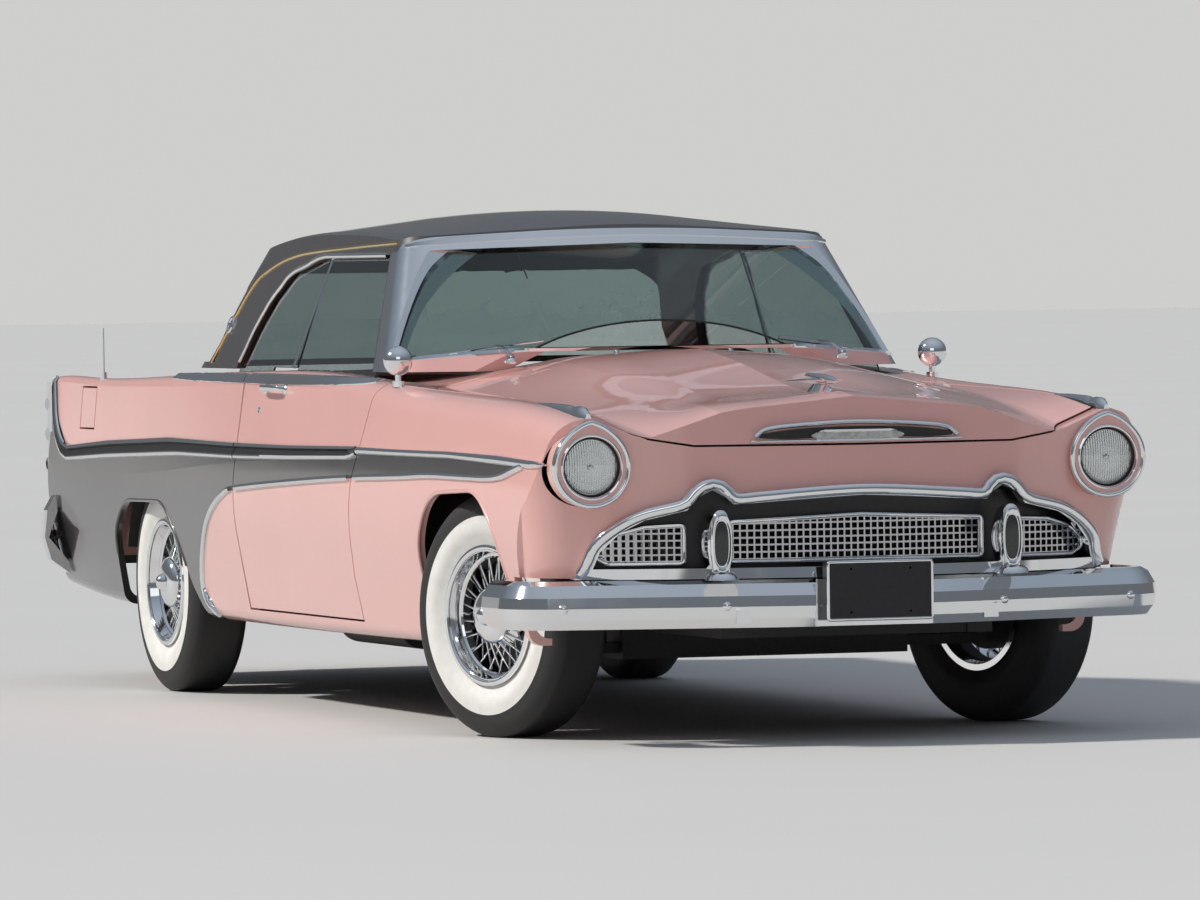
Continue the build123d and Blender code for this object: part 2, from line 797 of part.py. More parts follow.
# Floor with firewall, tunnel, rear bulkhead, boot floor and wheel housings
with BuildPart() as well:
    rod(Plane.YZ.offset(592).shift_origin((592, rear_axle_y, hub_z)), 408, 265)
    rod(Plane.YZ.offset(604).shift_origin((604, rear_axle_y, hub_z)), 396, 272, mode=Mode.SUBTRACT)
    block((500, 800, 455), (872, 2000, 1000), mode=Mode.INTERSECT)
with BuildPart() as floor_pan:
    block((-floor_x, firewall_y, floor_z), (floor_x, bulkhead_y + floor_t, floor_z + floor_t))
    block((-tunnel_x, firewall_y, floor_z), (tunnel_x, bulkhead_y + floor_t, floor_z + tunnel_h))
    block(
        (floor_t - tunnel_x, -1100, floor_z - 1), (tunnel_x - floor_t, bulkhead_y, floor_z + tunnel_h - floor_t),
        mode=Mode.SUBTRACT,
    )
    block((-floor_x, firewall_y - floor_t, floor_z), (floor_x, firewall_y, 960))
    block((-floor_x, bulkhead_y, floor_z), (floor_x, bulkhead_y + floor_t, bulkhead_z))
    block((-600, bulkhead_y + floor_t, boot_z), (600, 2600, boot_z + floor_t))
    add(well.part)
    mirror(well.part, about=Plane.YZ)
floor_pan.part.label = "floor_pan"
export_step(floor_pan.part, "parts/floor_pan.step")

# Ladder frame: two rails with a kick-up at the rear axle, and crossmembers
with BuildPart() as chassis_frame:
    prism(
        Plane.YZ.offset(rail_x),
        list(rail_line) + [(y, z + rail_h) for y, z in reversed(rail_line)],
        rail_w,
    )
    mirror(about=Plane.YZ)
    for y, z, depth in cross_members:
        block((-rail_x - 5, y, z), (rail_x + 5, y + depth, z + 70))
chassis_frame.part.label = "chassis_frame"
export_step(chassis_frame.part, "parts/chassis_frame.step")

# Front suspension: crossmember, coil towers and two arms a side
cross_top = 300
pin_gap = 1
arm_low_z = 262
arm_high_z = 452
with BuildPart() as front_suspension:
    block((300, front_axle_y - 30, arm_low_z - 30), (672, front_axle_y + 30, arm_low_z))
    block((400, front_axle_y - 22, arm_high_z), (672, front_axle_y + 22, arm_high_z + 24))
    block((412, front_axle_y - 60, 290), (446, front_axle_y + 60, 540))
    mirror(about=Plane.YZ)
    block((-440, front_axle_y - 70, 215), (440, front_axle_y + 70, cross_top))
front_suspension.part.label = "front_suspension"
export_step(front_suspension.part, "parts/front_suspension.step")

with BuildPart() as engine_block:
    block((190, front_axle_y - 40, cross_top + fit), (250, front_axle_y + 40, 392))
    mirror(about=Plane.YZ)
    block((-290, -2060, 392), (290, -1320, 880))
engine_block.part.label = "engine_block"
export_step(engine_block.part, "parts/engine_block.step")

# The radiator stands on the rails, and the hood's front rests on the latch post over it
with BuildPart() as latch_post:
    block((0, -2460, 800), (25, -2420, 1100))
    add(hollow.part, mode=Mode.INTERSECT)
with BuildPart() as radiator:
    with Locations((0, 0, -fit)):
        add(latch_post.part)
    mirror(about=Plane.YZ)
    block((-360, -2470, 300 + rail_h + fit), (360, -2400, 830))
radiator.part.label = "radiator"
export_step(radiator.part, "parts/radiator.step")

with BuildPart() as inner_fenders:
    block((452, -2380, 330), (462, firewall_y - floor_t - fit, 900))
    block((440, -1850, 430), (470, -1750, 500), mode=Mode.SUBTRACT)
    mirror(about=Plane.YZ)
inner_fenders.part.label = "inner_fenders"
export_step(inner_fenders.part, "parts/inner_fenders.step")

# Rear axle on leaf springs, tank and exhaust
rear_face_x = rear_track / 2 - 62
spring_line = (
    # y, z round the leaf spring's outline
    (780, 262), (1050, 262), (1400, 270), (1750, 290), (2000, 320), (2000, 345), (1750, 320), (1400, 326),
    (1050, 292), (780, 288),
)
with BuildPart() as rear_axle:
    with BuildSketch(Plane.YZ.offset(10 - rear_face_x)):
        with Locations((rear_axle_y, hub_z)):
            Circle(38)
    extrude(amount=2 * rear_face_x - 20)
    with BuildSketch(Plane.YZ.offset(-rear_track / 2 - 20)):
        with Locations((rear_axle_y, hub_z)):
            Circle(spindle_r - fit)
    extrude(amount=rear_track + 40)
    with Locations((0, rear_axle_y, hub_z)):
        Sphere(140)
    for x in (530, -590):
        prism(Plane.YZ.offset(x), spring_line, 60)
rear_axle.part.label = "rear_axle"
export_step(rear_axle.part, "parts/rear_axle.step")

with BuildPart() as fuel_tank:
    block((-420, 1960, 265), (420, 2480, 335 - fit))
    block((-325, 2000, 298), (325, 2480, 468))
    fillet(fuel_tank.edges().filter_by(Axis.Z), 20)
fuel_tank.part.label = "fuel_tank"
export_step(fuel_tank.part, "parts/fuel_tank.step")

pipe_r = 22
with BuildPart() as exhaust:
    rod(Plane.XZ.offset(1150).shift_origin((-470, -1150, floor_z - fit - pipe_r)), pipe_r, -3780)
    with BuildSketch(Plane.XZ.offset(210)) as muffler:
        with Locations((-492, 235)):
            Ellipse(75, 50)
    extrude(muffler.sketch, amount=-620)
exhaust.part.label = "exhaust"
export_step(exhaust.part, "parts/exhaust.step")


# Bumpers: pressed bars, open at the back, that follow the body's plan
def bumper_face(front, inset, side, end_y, corner_y, mid_y):
    """The plan of a bumper, drawn in by the inset."""
    flip = 1 if front else -1
    x = side - inset
    points = [
        (x, end_y), (x, corner_y + flip * inset), (0, mid_y + flip * inset), (-x, corner_y + flip * inset),
        (-x, end_y),
    ]
    line = FilletPolyline(*points, radius=[170 - inset, 1200, 170 - inset])
    Line(line @ 0, line @ 1)


def bumper(front, levels, side, end_y, corner_y, mid_y, extra):
    """A bumper bar as a loft through levels of height and inset, drawn in by the extra."""
    with BuildPart() as built:
        for z, inset in levels:
            with BuildSketch(Plane.XY.offset(z)):
                with BuildLine():
                    bumper_face(front, inset + extra, side, end_y, corner_y, mid_y)
                make_face()
        loft(ruled=True)
    return built.part


front_levels = (
    # z, inset
    (bumper_z0, 26), (bumper_z0 + 26, 8), (bumper_z0 + 60, 0), (bumper_z1 - 46, 4), (bumper_z1 - 12, 22),
    (bumper_z1, 42),
)
front_inner = ((bumper_z0 + 16, 40), (bumper_z1 - 62, 14), (bumper_z1 - 16, 44))
with BuildPart() as front_bumper:
    add(bumper(True, front_levels, half_width, -2240, -2520, -2812, 0))
    add(bumper(True, front_inner, half_width, -2200, -2520, -2812, 0), mode=Mode.SUBTRACT)
    add(bumper(True, ((0, 0), (900, 0)), half_width, -2200, -2520, -2812, 66), mode=Mode.SUBTRACT)
    block((-plate_w / 2 - fit, -2900, 300), (plate_w / 2 + fit, -2600, 600), mode=Mode.SUBTRACT)
    block((-plate_w / 2 - 20, -2750, bumper_z0 + 2), (plate_w / 2 + 20, -2738, bumper_z1 - 2))
    for x in (-bracket_x, bracket_x):
        block((x - 22, -2700, bracket_z), (x + 22, -2610, bracket_z + bracket_h))
front_bumper.part.label = "front_bumper"
export_step(front_bumper.part, "parts/front_bumper.step")

with BuildPart() as plate_holder:
    block(
        (-plate_w / 2, -half_length, plate_z - plate_h / 2), (plate_w / 2, -2750, plate_z + plate_h / 2)
    )
    chamfer(plate_holder.faces().sort_by(Axis.Y)[0].edges(), 4)
    for x in (-plate_hole_x / 2, plate_hole_x / 2):
        for z in (plate_z - plate_hole_z / 2, plate_z + plate_hole_z / 2):
            rod(Plane.XZ.offset(2700).shift_origin((x, -2700, z)), plate_hole_r, 120, mode=Mode.SUBTRACT)
plate_holder.part.label = "plate_holder"
export_step(plate_holder.part, "parts/plate_holder.step")

rear_mid = half_length + 9
body_clear = 8
rear_side = 930
rear_end_y = 2520
rear_corner_y = 2700
rear_levels = ((350, 84), (395, 22), (470, 0), (560, 10), (605, 34), (620, 58))
rear_inner = ((366, 100), (470, 14), (604, 62))
with BuildPart() as body_room:
    add(body_space(-body_clear))
    add(plan_space(-body_clear), mode=Mode.INTERSECT)
    block((-10, 2300, 0), (1000, far, 1300), mode=Mode.INTERSECT)
with BuildPart() as rear_bumper:
    add(bumper(False, rear_levels, rear_side, rear_end_y, rear_corner_y, rear_mid, 0))
    add(bumper(False, rear_inner, rear_side, rear_end_y - 40, rear_corner_y, rear_mid, 0), mode=Mode.SUBTRACT)
    add(
        bumper(False, ((0, 0), (900, 0)), rear_side, rear_end_y - 40, rear_corner_y, rear_mid, 92),
        mode=Mode.SUBTRACT,
    )
    block((-1000, half_length, 0), (1000, half_length + 100, 900), mode=Mode.SUBTRACT)
    add(body_room.part, mode=Mode.SUBTRACT)
    mirror(body_room.part, about=Plane.YZ, mode=Mode.SUBTRACT)
    for x in (-bracket_x, bracket_x):
        block((x - 22, 2560, bracket_z), (x + 22, 2740, bracket_z + bracket_h))
rear_bumper.part.label = "rear_bumper"
export_step(rear_bumper.part, "parts/rear_bumper.step")
print("running gear written")

# Lamps: peaked bezels with domed lenses, and tail lamp towers at the ends of the fins
with BuildPart() as headlight_bezels:
    extrude(lamp_outline(-fit), amount=60)
    fillet(headlight_bezels.faces().sort_by(Axis.Y)[0].edges(), 5)
    rod(Plane.XZ.offset(2500).shift_origin((lamp_x, -2500, lamp_z)), lamp_r + fit, 120, mode=Mode.SUBTRACT)
    mirror(about=Plane.YZ)
headlight_bezels.part.label = "headlight_bezels"
export_step(headlight_bezels.part, "parts/headlight_bezels.step")

with BuildPart() as headlights:
    rod(Plane.XZ.offset(-lamp_y - 30).shift_origin((lamp_x, lamp_y + 30, lamp_z)), lamp_r, 66)
    with Locations((lamp_x, lamp_y - 36 + dome_r, lamp_z)):
        Sphere(dome_r, mode=Mode.INTERSECT)
    mirror(about=Plane.YZ)
headlights.part.label = "headlights"
export_step(headlights.part, "parts/headlights.step")

with BuildPart() as tail_lights:
    block((812, 2630, 640), (868, 2690, 985))
    for z in (712, 812, 912):
        rod(Plane.XZ.offset(-2690).shift_origin((840, 2690, z)), 24, -22)
    add(rear_quarter_left.part, mode=Mode.SUBTRACT)
    mirror(about=Plane.YZ)
tail_lights.part.label = "tail_lights"
export_step(tail_lights.part, "parts/tail_lights.step")

# Cabin furniture
dash_points, dash_radii = gh_points(gh_row(1090), gh_wall + 12)
column_axis = Vector(0, cos(radians(wheel_tilt)), sin(radians(wheel_tilt)))
wheel_plane = Plane(origin=(wheel_x, wheel_y, wheel_z), x_dir=(1, 0, 0), z_dir=column_axis)
hub_depth = 20
with BuildPart() as steering_column:
    rod(wheel_plane.offset(-hub_depth - fit), column_r, -column_len)
steering_column.part.label = "steering_column"
export_step(steering_column.part, "parts/steering_column.step")

with BuildPart() as dashboard:
    prism(
        Plane.YZ.offset(-750),
        [(-1060, 700), (-915, 700), (-900, 980), (-918, 1025), (-1060, 1040)],
        1500,
    )
    prism(Plane.XY.offset(600), dash_points, 600, radius=dash_radii, mode=Mode.INTERSECT)
    add(steering_column.part, mode=Mode.SUBTRACT)
dashboard.part.label = "dashboard"
export_step(dashboard.part, "parts/dashboard.step")

with BuildPart() as steering_wheel:
    with BuildSketch(Plane(origin=wheel_plane.origin + wheel_plane.x_dir * 205,
                           x_dir=wheel_plane.z_dir, z_dir=wheel_plane.y_dir)):
        Circle(12)
    revolve(axis=Axis(wheel_plane.origin, column_axis))
    with BuildSketch(wheel_plane.offset(-hub_depth)):
        Circle(38)
    extrude(amount=45)
    with BuildSketch(wheel_plane.offset(-8)):
        Rectangle(400, 26)
    extrude(amount=14)
steering_wheel.part.label = "steering_wheel"
export_step(steering_wheel.part, "parts/steering_wheel.step")


def bench(front_y, depth, width, seat_z, back_z, foot_y):
    """A bench seat on two plinths, in the part that is being built."""
    base_z = floor_z + 150
    prism(
        Plane.YZ.offset(-width / 2),
        [
            (front_y, base_z), (front_y, seat_z), (front_y + depth, seat_z - 40),
            (front_y + depth + 130, back_z), (front_y + depth + 190, back_z), (front_y + depth + 150, base_z),
        ],
        width,
    )
    for x0, x1 in ((190, 560), (-560, -190)):
        block((x0, front_y + 40, floor_z + floor_t + fit), (x1, foot_y, base_z))


with BuildPart() as front_seat:
    bench(-440, 450, 1290, 600, 960, 100)
front_seat.part.label = "front_seat"
export_step(front_seat.part, "parts/front_seat.step")

with BuildPart() as rear_seat:
    bench(420, 400, 1170, 590, 940, 900)
rear_seat.part.label = "rear_seat"
export_step(rear_seat.part, "parts/rear_seat.step")

# Ball mirrors on the fenders and the mast on the right rear fender
mirror_x, mirror_y, mirror_z = 847, -1060, 1078
with BuildPart() as mirrors:
    with Locations((mirror_x, mirror_y, mirror_z)):
        Sphere(44)
    block(
        (mirror_x - 60, mirror_y + 24, mirror_z - 60), (mirror_x + 60, mirror_y + 60, mirror_z + 60),
        mode=Mode.SUBTRACT,
    )
    rod(Plane.XY.offset(1000).shift_origin((mirror_x, mirror_y, 1000)), 9, 50)
    with BuildSketch(Plane.XY.offset(1000)) as foot:
        with Locations((mirror_x, mirror_y)):
            Ellipse(16, 30)
    extrude(foot.sketch, amount=18)
    add(front_fender_left.part, mode=Mode.SUBTRACT)
    mirror(about=Plane.YZ)
mirrors.part.label = "mirrors"
export_step(mirrors.part, "parts/mirrors.step")

with BuildPart() as antenna:
    rod(Plane.XY.offset(992).shift_origin((-845, 2080, 992)), 12, 30)
    rod(Plane.XY.offset(1000).shift_origin((-845, 2080, 1000)), 4, 168)
    add(rear_quarter_right.part, mode=Mode.SUBTRACT)
antenna.part.label = "antenna"
export_step(antenna.part, "parts/antenna.step")

# Wheels: axis along X, outer face towards +X
with BuildPart() as tyre:
    with BuildSketch(Plane.XZ):
        with BuildLine():
            FilletPolyline(
                (-72, rim_r), (-tyre_w / 2, 250), (-tyre_w / 2 + 8, 330), (-68, tyre_r), (68, tyre_r),
                (tyre_w / 2 - 8, 330), (tyre_w / 2, 250), (72, rim_r),
                radius=[3, 60, 60, 22, 22, 60, 60, 3], close=True,
            )
        make_face()
    revolve(axis=Axis.X)
with BuildPart() as wheel:
    with BuildSketch(Plane.XZ):
        with BuildLine():
            Polyline(
                (-86, rim_r + 12), (-86, rim_r - 6), (-50, 172), (50, 172), (86, rim_r - 6), (86, rim_r + 12),
                (80, rim_r + 12), (80, rim_r - fit), (-80, rim_r - fit), (-80, rim_r + 12), close=True,
            )
        make_face()
    revolve(axis=Axis.X)
    with BuildSketch(Plane.XZ):
        with BuildLine():
            Polyline(
                (-45, 0), (-45, 140), (-5, 140), (-5, 96), (30, 92), (52, 60), (90, 46), (90, 0), close=True
            )
        make_face()
    revolve(axis=Axis.X)
    for lean, hub_out, rim_out in ((26, 74, 22), (-26, 28, 46)):
        for index in range(spoke_count):
            turn = radians(360 / spoke_count * (index + (0.5 if lean > 0 else 0)))
            end = turn + radians(lean)
            start_point = Vector(hub_out, 50 * cos(turn), 50 * sin(turn))
            end_point = Vector(rim_out, 175 * cos(end), 175 * sin(end))
            run = end_point - start_point
            rod(Plane(origin=start_point, z_dir=run), spoke_r, run.length)
    rod(Plane.YZ.offset(-60), spindle_r, 85, mode=Mode.SUBTRACT)

knuckle_w = front_track / 2 + 20 - kingpin_x
turn_left = Location((kingpin_x, front_axle_y, 0), (0, 0, steer_rest))
turn_right = Location((-kingpin_x, front_axle_y, 0), (0, 0, steer_rest))
corners = (
    ("front_left", turn_left * Location((front_track / 2 - kingpin_x, 0, hub_z))),
    ("front_right", turn_right * Location((kingpin_x - front_track / 2, 0, hub_z), (0, 0, 180))),
    ("rear_left", Location((rear_track / 2, rear_axle_y, hub_z))),
    ("rear_right", Location((-rear_track / 2, rear_axle_y, hub_z), (0, 0, 180))),
)
for corner, place in corners:
    with BuildPart() as placed_tyre:
        with Locations(place):
            add(tyre.part)
    placed_tyre.part.label = f"tyre_{corner}"
    export_step(placed_tyre.part, f"parts/tyre_{corner}.step")
    with BuildPart() as placed_wheel:
        with Locations(place):
            add(wheel.part)
    placed_wheel.part.label = f"wheel_{corner}"
    export_step(placed_wheel.part, f"parts/wheel_{corner}.step")

with BuildPart() as knuckle:
    rod(Plane.XY.offset(arm_low_z + pin_gap), 23, arm_high_z - arm_low_z - 2 * pin_gap)
    rod(Plane.YZ.shift_origin((0, 0, hub_z)), spindle_r - fit, knuckle_w)
with BuildPart() as knuckle_left:
    with Locations(turn_left):
        add(knuckle.part)
knuckle_left.part.label = "knuckle_left"
export_step(knuckle_left.part, "parts/knuckle_left.step")
with BuildPart() as knuckle_right:
    with Locations(turn_right * Location((0, 0, 0), (0, 0, 180))):
        add(knuckle.part)
knuckle_right.part.label = "knuckle_right"
export_step(knuckle_right.part, "parts/knuckle_right.step")
print("wheels written")
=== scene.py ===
import math
import bpy
from mathutils import Matrix, Vector
from mathutils.bvhtree import BVHTree


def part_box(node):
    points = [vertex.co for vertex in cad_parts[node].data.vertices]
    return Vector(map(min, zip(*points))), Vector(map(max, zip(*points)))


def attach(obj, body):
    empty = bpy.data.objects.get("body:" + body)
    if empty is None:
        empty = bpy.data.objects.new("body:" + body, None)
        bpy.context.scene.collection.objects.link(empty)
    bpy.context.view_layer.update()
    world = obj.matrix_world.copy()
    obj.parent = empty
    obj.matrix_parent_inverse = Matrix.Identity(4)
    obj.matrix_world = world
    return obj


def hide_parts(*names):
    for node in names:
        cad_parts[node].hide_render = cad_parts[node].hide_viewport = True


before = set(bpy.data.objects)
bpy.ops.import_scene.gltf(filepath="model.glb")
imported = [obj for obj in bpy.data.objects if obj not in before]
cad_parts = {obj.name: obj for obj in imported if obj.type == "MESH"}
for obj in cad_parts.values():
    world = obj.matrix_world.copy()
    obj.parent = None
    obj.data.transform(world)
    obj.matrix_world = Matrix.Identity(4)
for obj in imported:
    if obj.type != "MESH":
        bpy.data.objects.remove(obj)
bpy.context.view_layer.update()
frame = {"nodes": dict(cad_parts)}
nodes = frame["nodes"]
print("frame loaded")

sides = (("left", 1), ("right", -1))
forward, upward = Vector((0, -1, 0)), Vector((0, 0, 1))


# node helpers
def feed(tree, node, values):
    # each input takes a plain value or another node's output
    for key, value in values.items():
        if isinstance(value, bpy.types.NodeSocket):
            tree.links.new(value, node.inputs[key])
        else:
            node.inputs[key].default_value = value


def addNode(tree, kind, values, output=0, **settings):
    # a new node with its inputs fed; gives back one of its outputs
    node = tree.nodes.new(f"ShaderNode{kind}")
    for key, value in settings.items():
        setattr(node, key, value)
    feed(tree, node, values)
    return node.outputs[output]


def mathNode(tree, operation, *values):
    return addNode(tree, "Math", dict(enumerate(values)), operation=operation)


def waves(tree, value, pitch):
    return mathNode(tree, "SINE", mathNode(tree, "MULTIPLY", value, pitch))


def mixColour(tree, share, first, second):
    return addNode(tree, "Mix", {"Factor": share, "A": first, "B": second}, "Result", data_type="RGBA")


def addRamp(tree, share, rows):
    # a colour ramp with a stop at each place
    ramp = tree.nodes.new("ShaderNodeValToRGB")
    stops = ramp.color_ramp.elements
    stops.remove(stops[-1])
    for index, (position, colour) in enumerate(rows):
        stop = stops.new(position) if index else stops[0]
        stop.position = position
        stop.color = (*colour, 1)
    tree.links.new(share, ramp.inputs["Fac"])
    return ramp.outputs["Color"]


def splitPlace(tree, kind="Object"):
    # x, y and z of the shaded point
    split = tree.nodes.new("ShaderNodeSeparateXYZ")
    tree.links.new(addNode(tree, "TexCoord", {}, kind), split.inputs["Vector"])
    return split.outputs


def addNoise(tree, scale, detail=3):
    place = addNode(tree, "TexCoord", {}, "Object")
    return addNode(tree, "TexNoise", {"Scale": scale, "Detail": detail, "Vector": place}, "Fac")


def addBump(tree, shader, height, strength, distance=0.001):
    values = {"Strength": strength, "Distance": distance, "Height": height}
    feed(tree, shader, {"Normal": addNode(tree, "Bump", values, "Normal")})


def shadeColour(tree, value, colour, share, start=0.35, end=0.65):
    # from a darker shade of the colour to the colour itself
    return addRamp(tree, value, ((start, [c * share for c in colour]), (end, colour)))


def startMaterial(name, colour, roughness, metallic=0.0):
    material = bpy.data.materials.new(name)
    material.use_nodes = True
    material.diffuse_color = (*colour, 1)
    tree = material.node_tree
    shader = tree.nodes["Principled BSDF"]
    feed(tree, shader, {"Base Color": (*colour, 1), "Roughness": roughness, "Metallic": metallic})
    return material, tree, shader


# camera
cameraSetup = {
    "place": (-8.877, -25.779, 1.347),
    "yaw": -19.304,
    "pitch": -1.191,
    "roll": -0.744,
    "lens": 263.97,
    "sensor": 36,
    "reach": 400,
}


def addCamera():
    yaw, pitch, roll = (math.radians(cameraSetup[key]) for key in ("yaw", "pitch", "roll"))
    ahead = Vector((-math.sin(yaw) * math.cos(pitch), math.cos(yaw) * math.cos(pitch), math.sin(pitch)))
    right = Vector((math.cos(yaw), math.sin(yaw), 0))
    up = right.cross(ahead)
    turnedRight = right * math.cos(roll) + up * math.sin(roll)
    turnedUp = up * math.cos(roll) - right * math.sin(roll)
    bpy.ops.object.camera_add(location=cameraSetup["place"])
    camera = bpy.context.object
    turn = Matrix((turnedRight, turnedUp, -ahead)).transposed()
    camera.rotation_euler = turn.to_euler()
    camera.data.lens = cameraSetup["lens"]
    camera.data.sensor_width = cameraSetup["sensor"]
    camera.data.clip_end = cameraSetup["reach"]
    bpy.context.scene.camera = camera


addCamera()

# light and floor
studio = {
    "floor": (0.66, 0.65, 0.63),
    "sky": (
        (0.0, (0.34, 0.34, 0.33)), (0.46, (0.60, 0.60, 0.59)), (0.5, (0.62, 0.62, 0.61)),
        (0.516, (0.62, 0.62, 0.61)), (0.53, (0.14, 0.145, 0.15)), (0.66, (0.15, 0.17, 0.20)),
        (0.80, (0.26, 0.31, 0.38)), (1.0, (0.42, 0.47, 0.54)),
    ),
    "sun": {"place": (-9.5, 3.5, 9.0), "target": (0, 0, 0), "power": 3.1},
    "sunAngle": 4.0,
    "sunColour": (1.0, 0.96, 0.91),
    "fill": {"place": (-5.0, -15.0, 7.0), "target": (0, 0, 0.6), "power": 110},
    "fillSize": (8, 5),
}


def addLamp(kind, name, setup):
    bpy.ops.object.light_add(type=kind, location=setup["place"])
    lamp = bpy.context.object
    lamp.name = name
    lamp.data.energy = setup["power"]
    way = Vector(setup["target"]) - Vector(setup["place"])
    lamp.rotation_euler = way.to_track_quat("-Z", "Y").to_euler()
    return lamp.data


def buildStudio():
    sun = addLamp("SUN", "keyLamp", studio["sun"])
    sun.angle = math.radians(studio["sunAngle"])
    sun.color = studio["sunColour"]
    fill = addLamp("AREA", "fillLamp", studio["fill"])
    fill.shape = "RECTANGLE"
    fill.size, fill.size_y = studio["fillSize"]
    bpy.ops.mesh.primitive_plane_add(size=400, location=(0, 0, 0))
    floor = bpy.context.object
    floor.name = "floorSheet"
    plaster, tree, shader = startMaterial("palePlaster", studio["floor"], 0.75)
    shade = shadeColour(tree, addNoise(tree, 0.35, 6), studio["floor"], 0.94, 0, 1)
    feed(tree, shader, {"Base Color": shade})
    floor.data.materials.append(plaster)
    world = bpy.data.worlds.new("studioSky")
    bpy.context.scene.world = world
    world.use_nodes = True
    tree = world.node_tree
    tree.nodes.clear()
    level = mathNode(tree, "MULTIPLY_ADD", splitPlace(tree, "Generated")["Z"], 0.5, 0.5)
    sky = addNode(tree, "Background", {"Color": addRamp(tree, level, studio["sky"])})
    feed(tree, tree.nodes.new("ShaderNodeOutputWorld"), {"Surface": sky})


buildStudio()
bpy.context.scene.view_settings.view_transform = "Standard"
print("studio set")

# materials
paints = {
    "pink": (0.80, 0.43, 0.39),
    "charcoal": (0.040, 0.036, 0.034),
    "chrome": (0.83, 0.84, 0.85),
    "gold": (0.72, 0.53, 0.25),
    "glass": (0.46, 0.55, 0.53),
    "lens": (0.86, 0.88, 0.88),
    "ruby": (0.42, 0.010, 0.012),
    "black": (0.012, 0.012, 0.013),
    "rubber": (0.018, 0.018, 0.018),
    "whitewall": (0.80, 0.79, 0.75),
    "underseal": (0.020, 0.019, 0.018),
    "iron": (0.09, 0.085, 0.08),
    "carpet": (0.035, 0.033, 0.030),
    "hide": (0.055, 0.050, 0.045),
    "insert": (0.33, 0.19, 0.17),
}


def solid(name):
    return (*paints[name], 1)


def startLacquer(name, colour):
    # paint under a clear coat, with a faint orange peel; its shade is not yet joined
    material, tree, shader = startMaterial(name, colour, 0.32)
    feed(tree, shader, {"Coat Weight": 1.0, "Coat Roughness": 0.03})
    addBump(tree, shader, addNoise(tree, 260), 0.02, 0.0004)
    return material, tree, shader, shadeColour(tree, addNoise(tree, 2.5), colour, 0.97)


def lacquer(name, colour):
    material, tree, shader, shade = startLacquer(name, colour)
    feed(tree, shader, {"Base Color": shade})
    return material


# the charcoal band: heights over the car's length, and the line of the quarter's foot
sideBand = {
    "length": 5.6,
    "high": 1.2,
    "top": (
    (-2.8, 0.786), (-2.412, 0.788), (-2.17, 0.795), (-1.742, 0.803), (-0.853, 0.808), (0.38, 0.795),
    (1.03, 0.792), (1.88, 0.773), (2.40, 0.752), (2.47, 0.80), (2.57, 0.865), (2.68, 1.0), (2.8, 1.1),
    ),
    "low": (
    (-2.8, 0.80), (-2.36, 0.787), (-2.27, 0.769), (-2.16, 0.754), (-2.06, 0.750), (-1.58, 0.748),
    (-1.31, 0.741), (-0.86, 0.729), (-0.35, 0.709), (0.33, 0.676), (0.47, 0.656), (0.587, 0.618),
    (0.69, 0.560), (0.78, 0.482), (0.835, 0.405), (0.86, 0.10),
    ),
    "footSlope": (1.48, 0.331),
    "footTop": 0.351,
    "inner": 0.80,
}


def alongCurve(tree, y, points):
    # height in metres over the car's length, as a ramp of straight runs
    length, high = sideBand["length"], sideBand["high"]
    share = mathNode(tree, "MULTIPLY_ADD", y, 1 / length, 0.5)
    rows = [((place + length / 2) / length, (height / high,) * 3) for place, height in points]
    return mathNode(tree, "MULTIPLY", addRamp(tree, share, rows), high)


def twoTone(name):
    # pink with the charcoal side band and rear quarter under the bright mouldings
    material, tree, shader, shade = startLacquer(name, paints["pink"])
    x, y, z = splitPlace(tree)
    under = mathNode(tree, "LESS_THAN", z, alongCurve(tree, y, sideBand["top"]))
    over = mathNode(tree, "GREATER_THAN", z, alongCurve(tree, y, sideBand["low"]))
    behind = mathNode(tree, "GREATER_THAN", y, mathNode(tree, "MULTIPLY_ADD", z, *sideBand["footSlope"]))
    foot = mathNode(tree, "MULTIPLY", behind, mathNode(tree, "LESS_THAN", z, sideBand["footTop"]))
    band = mathNode(tree, "MULTIPLY", under, mathNode(tree, "MAXIMUM", over, foot))
    outside = mathNode(tree, "GREATER_THAN", mathNode(tree, "ABSOLUTE", x), sideBand["inner"])
    band = mathNode(tree, "MULTIPLY", band, outside)
    feed(tree, shader, {"Base Color": mixColour(tree, band, shade, solid("charcoal"))})
    return material


# where the surround's looks change, as curves over the square of x
surround = {"header": (0.269, -0.715), "headerHeight": 1.40, "foot": (-0.055, 1.108), "footSquare": 0.60}


def frameFinish(name):
    # the glass's surround: charcoal over the header chrome, pink under the foot chrome, bright between
    material, tree, shader = startMaterial(name, paints["chrome"], 0.08, 1.0)
    x, y, z = splitPlace(tree)
    square = mathNode(tree, "MULTIPLY", x, x)
    behind = mathNode(tree, "GREATER_THAN", y, mathNode(tree, "MULTIPLY_ADD", square, *surround["header"]))
    high = mathNode(tree, "GREATER_THAN", z, surround["headerHeight"])
    top = mathNode(tree, "MULTIPLY", behind, high)
    under = mathNode(tree, "LESS_THAN", z, mathNode(tree, "MULTIPLY_ADD", square, *surround["foot"]))
    foot = mathNode(tree, "MULTIPLY", under, mathNode(tree, "LESS_THAN", square, surround["footSquare"]))
    painted = mathNode(tree, "MAXIMUM", top, foot)
    colour = mixColour(tree, top, solid("chrome"), solid("charcoal"))
    feed(tree, shader, {
        "Base Color": mixColour(tree, foot, colour, solid("pink")),
        "Metallic": mathNode(tree, "SUBTRACT", 1, painted),
        "Roughness": mathNode(tree, "MULTIPLY_ADD", painted, 0.24, 0.07),
        "Coat Weight": painted,
    })
    addBump(tree, shader, addNoise(tree, 60), 0.015, 0.0006)
    return material


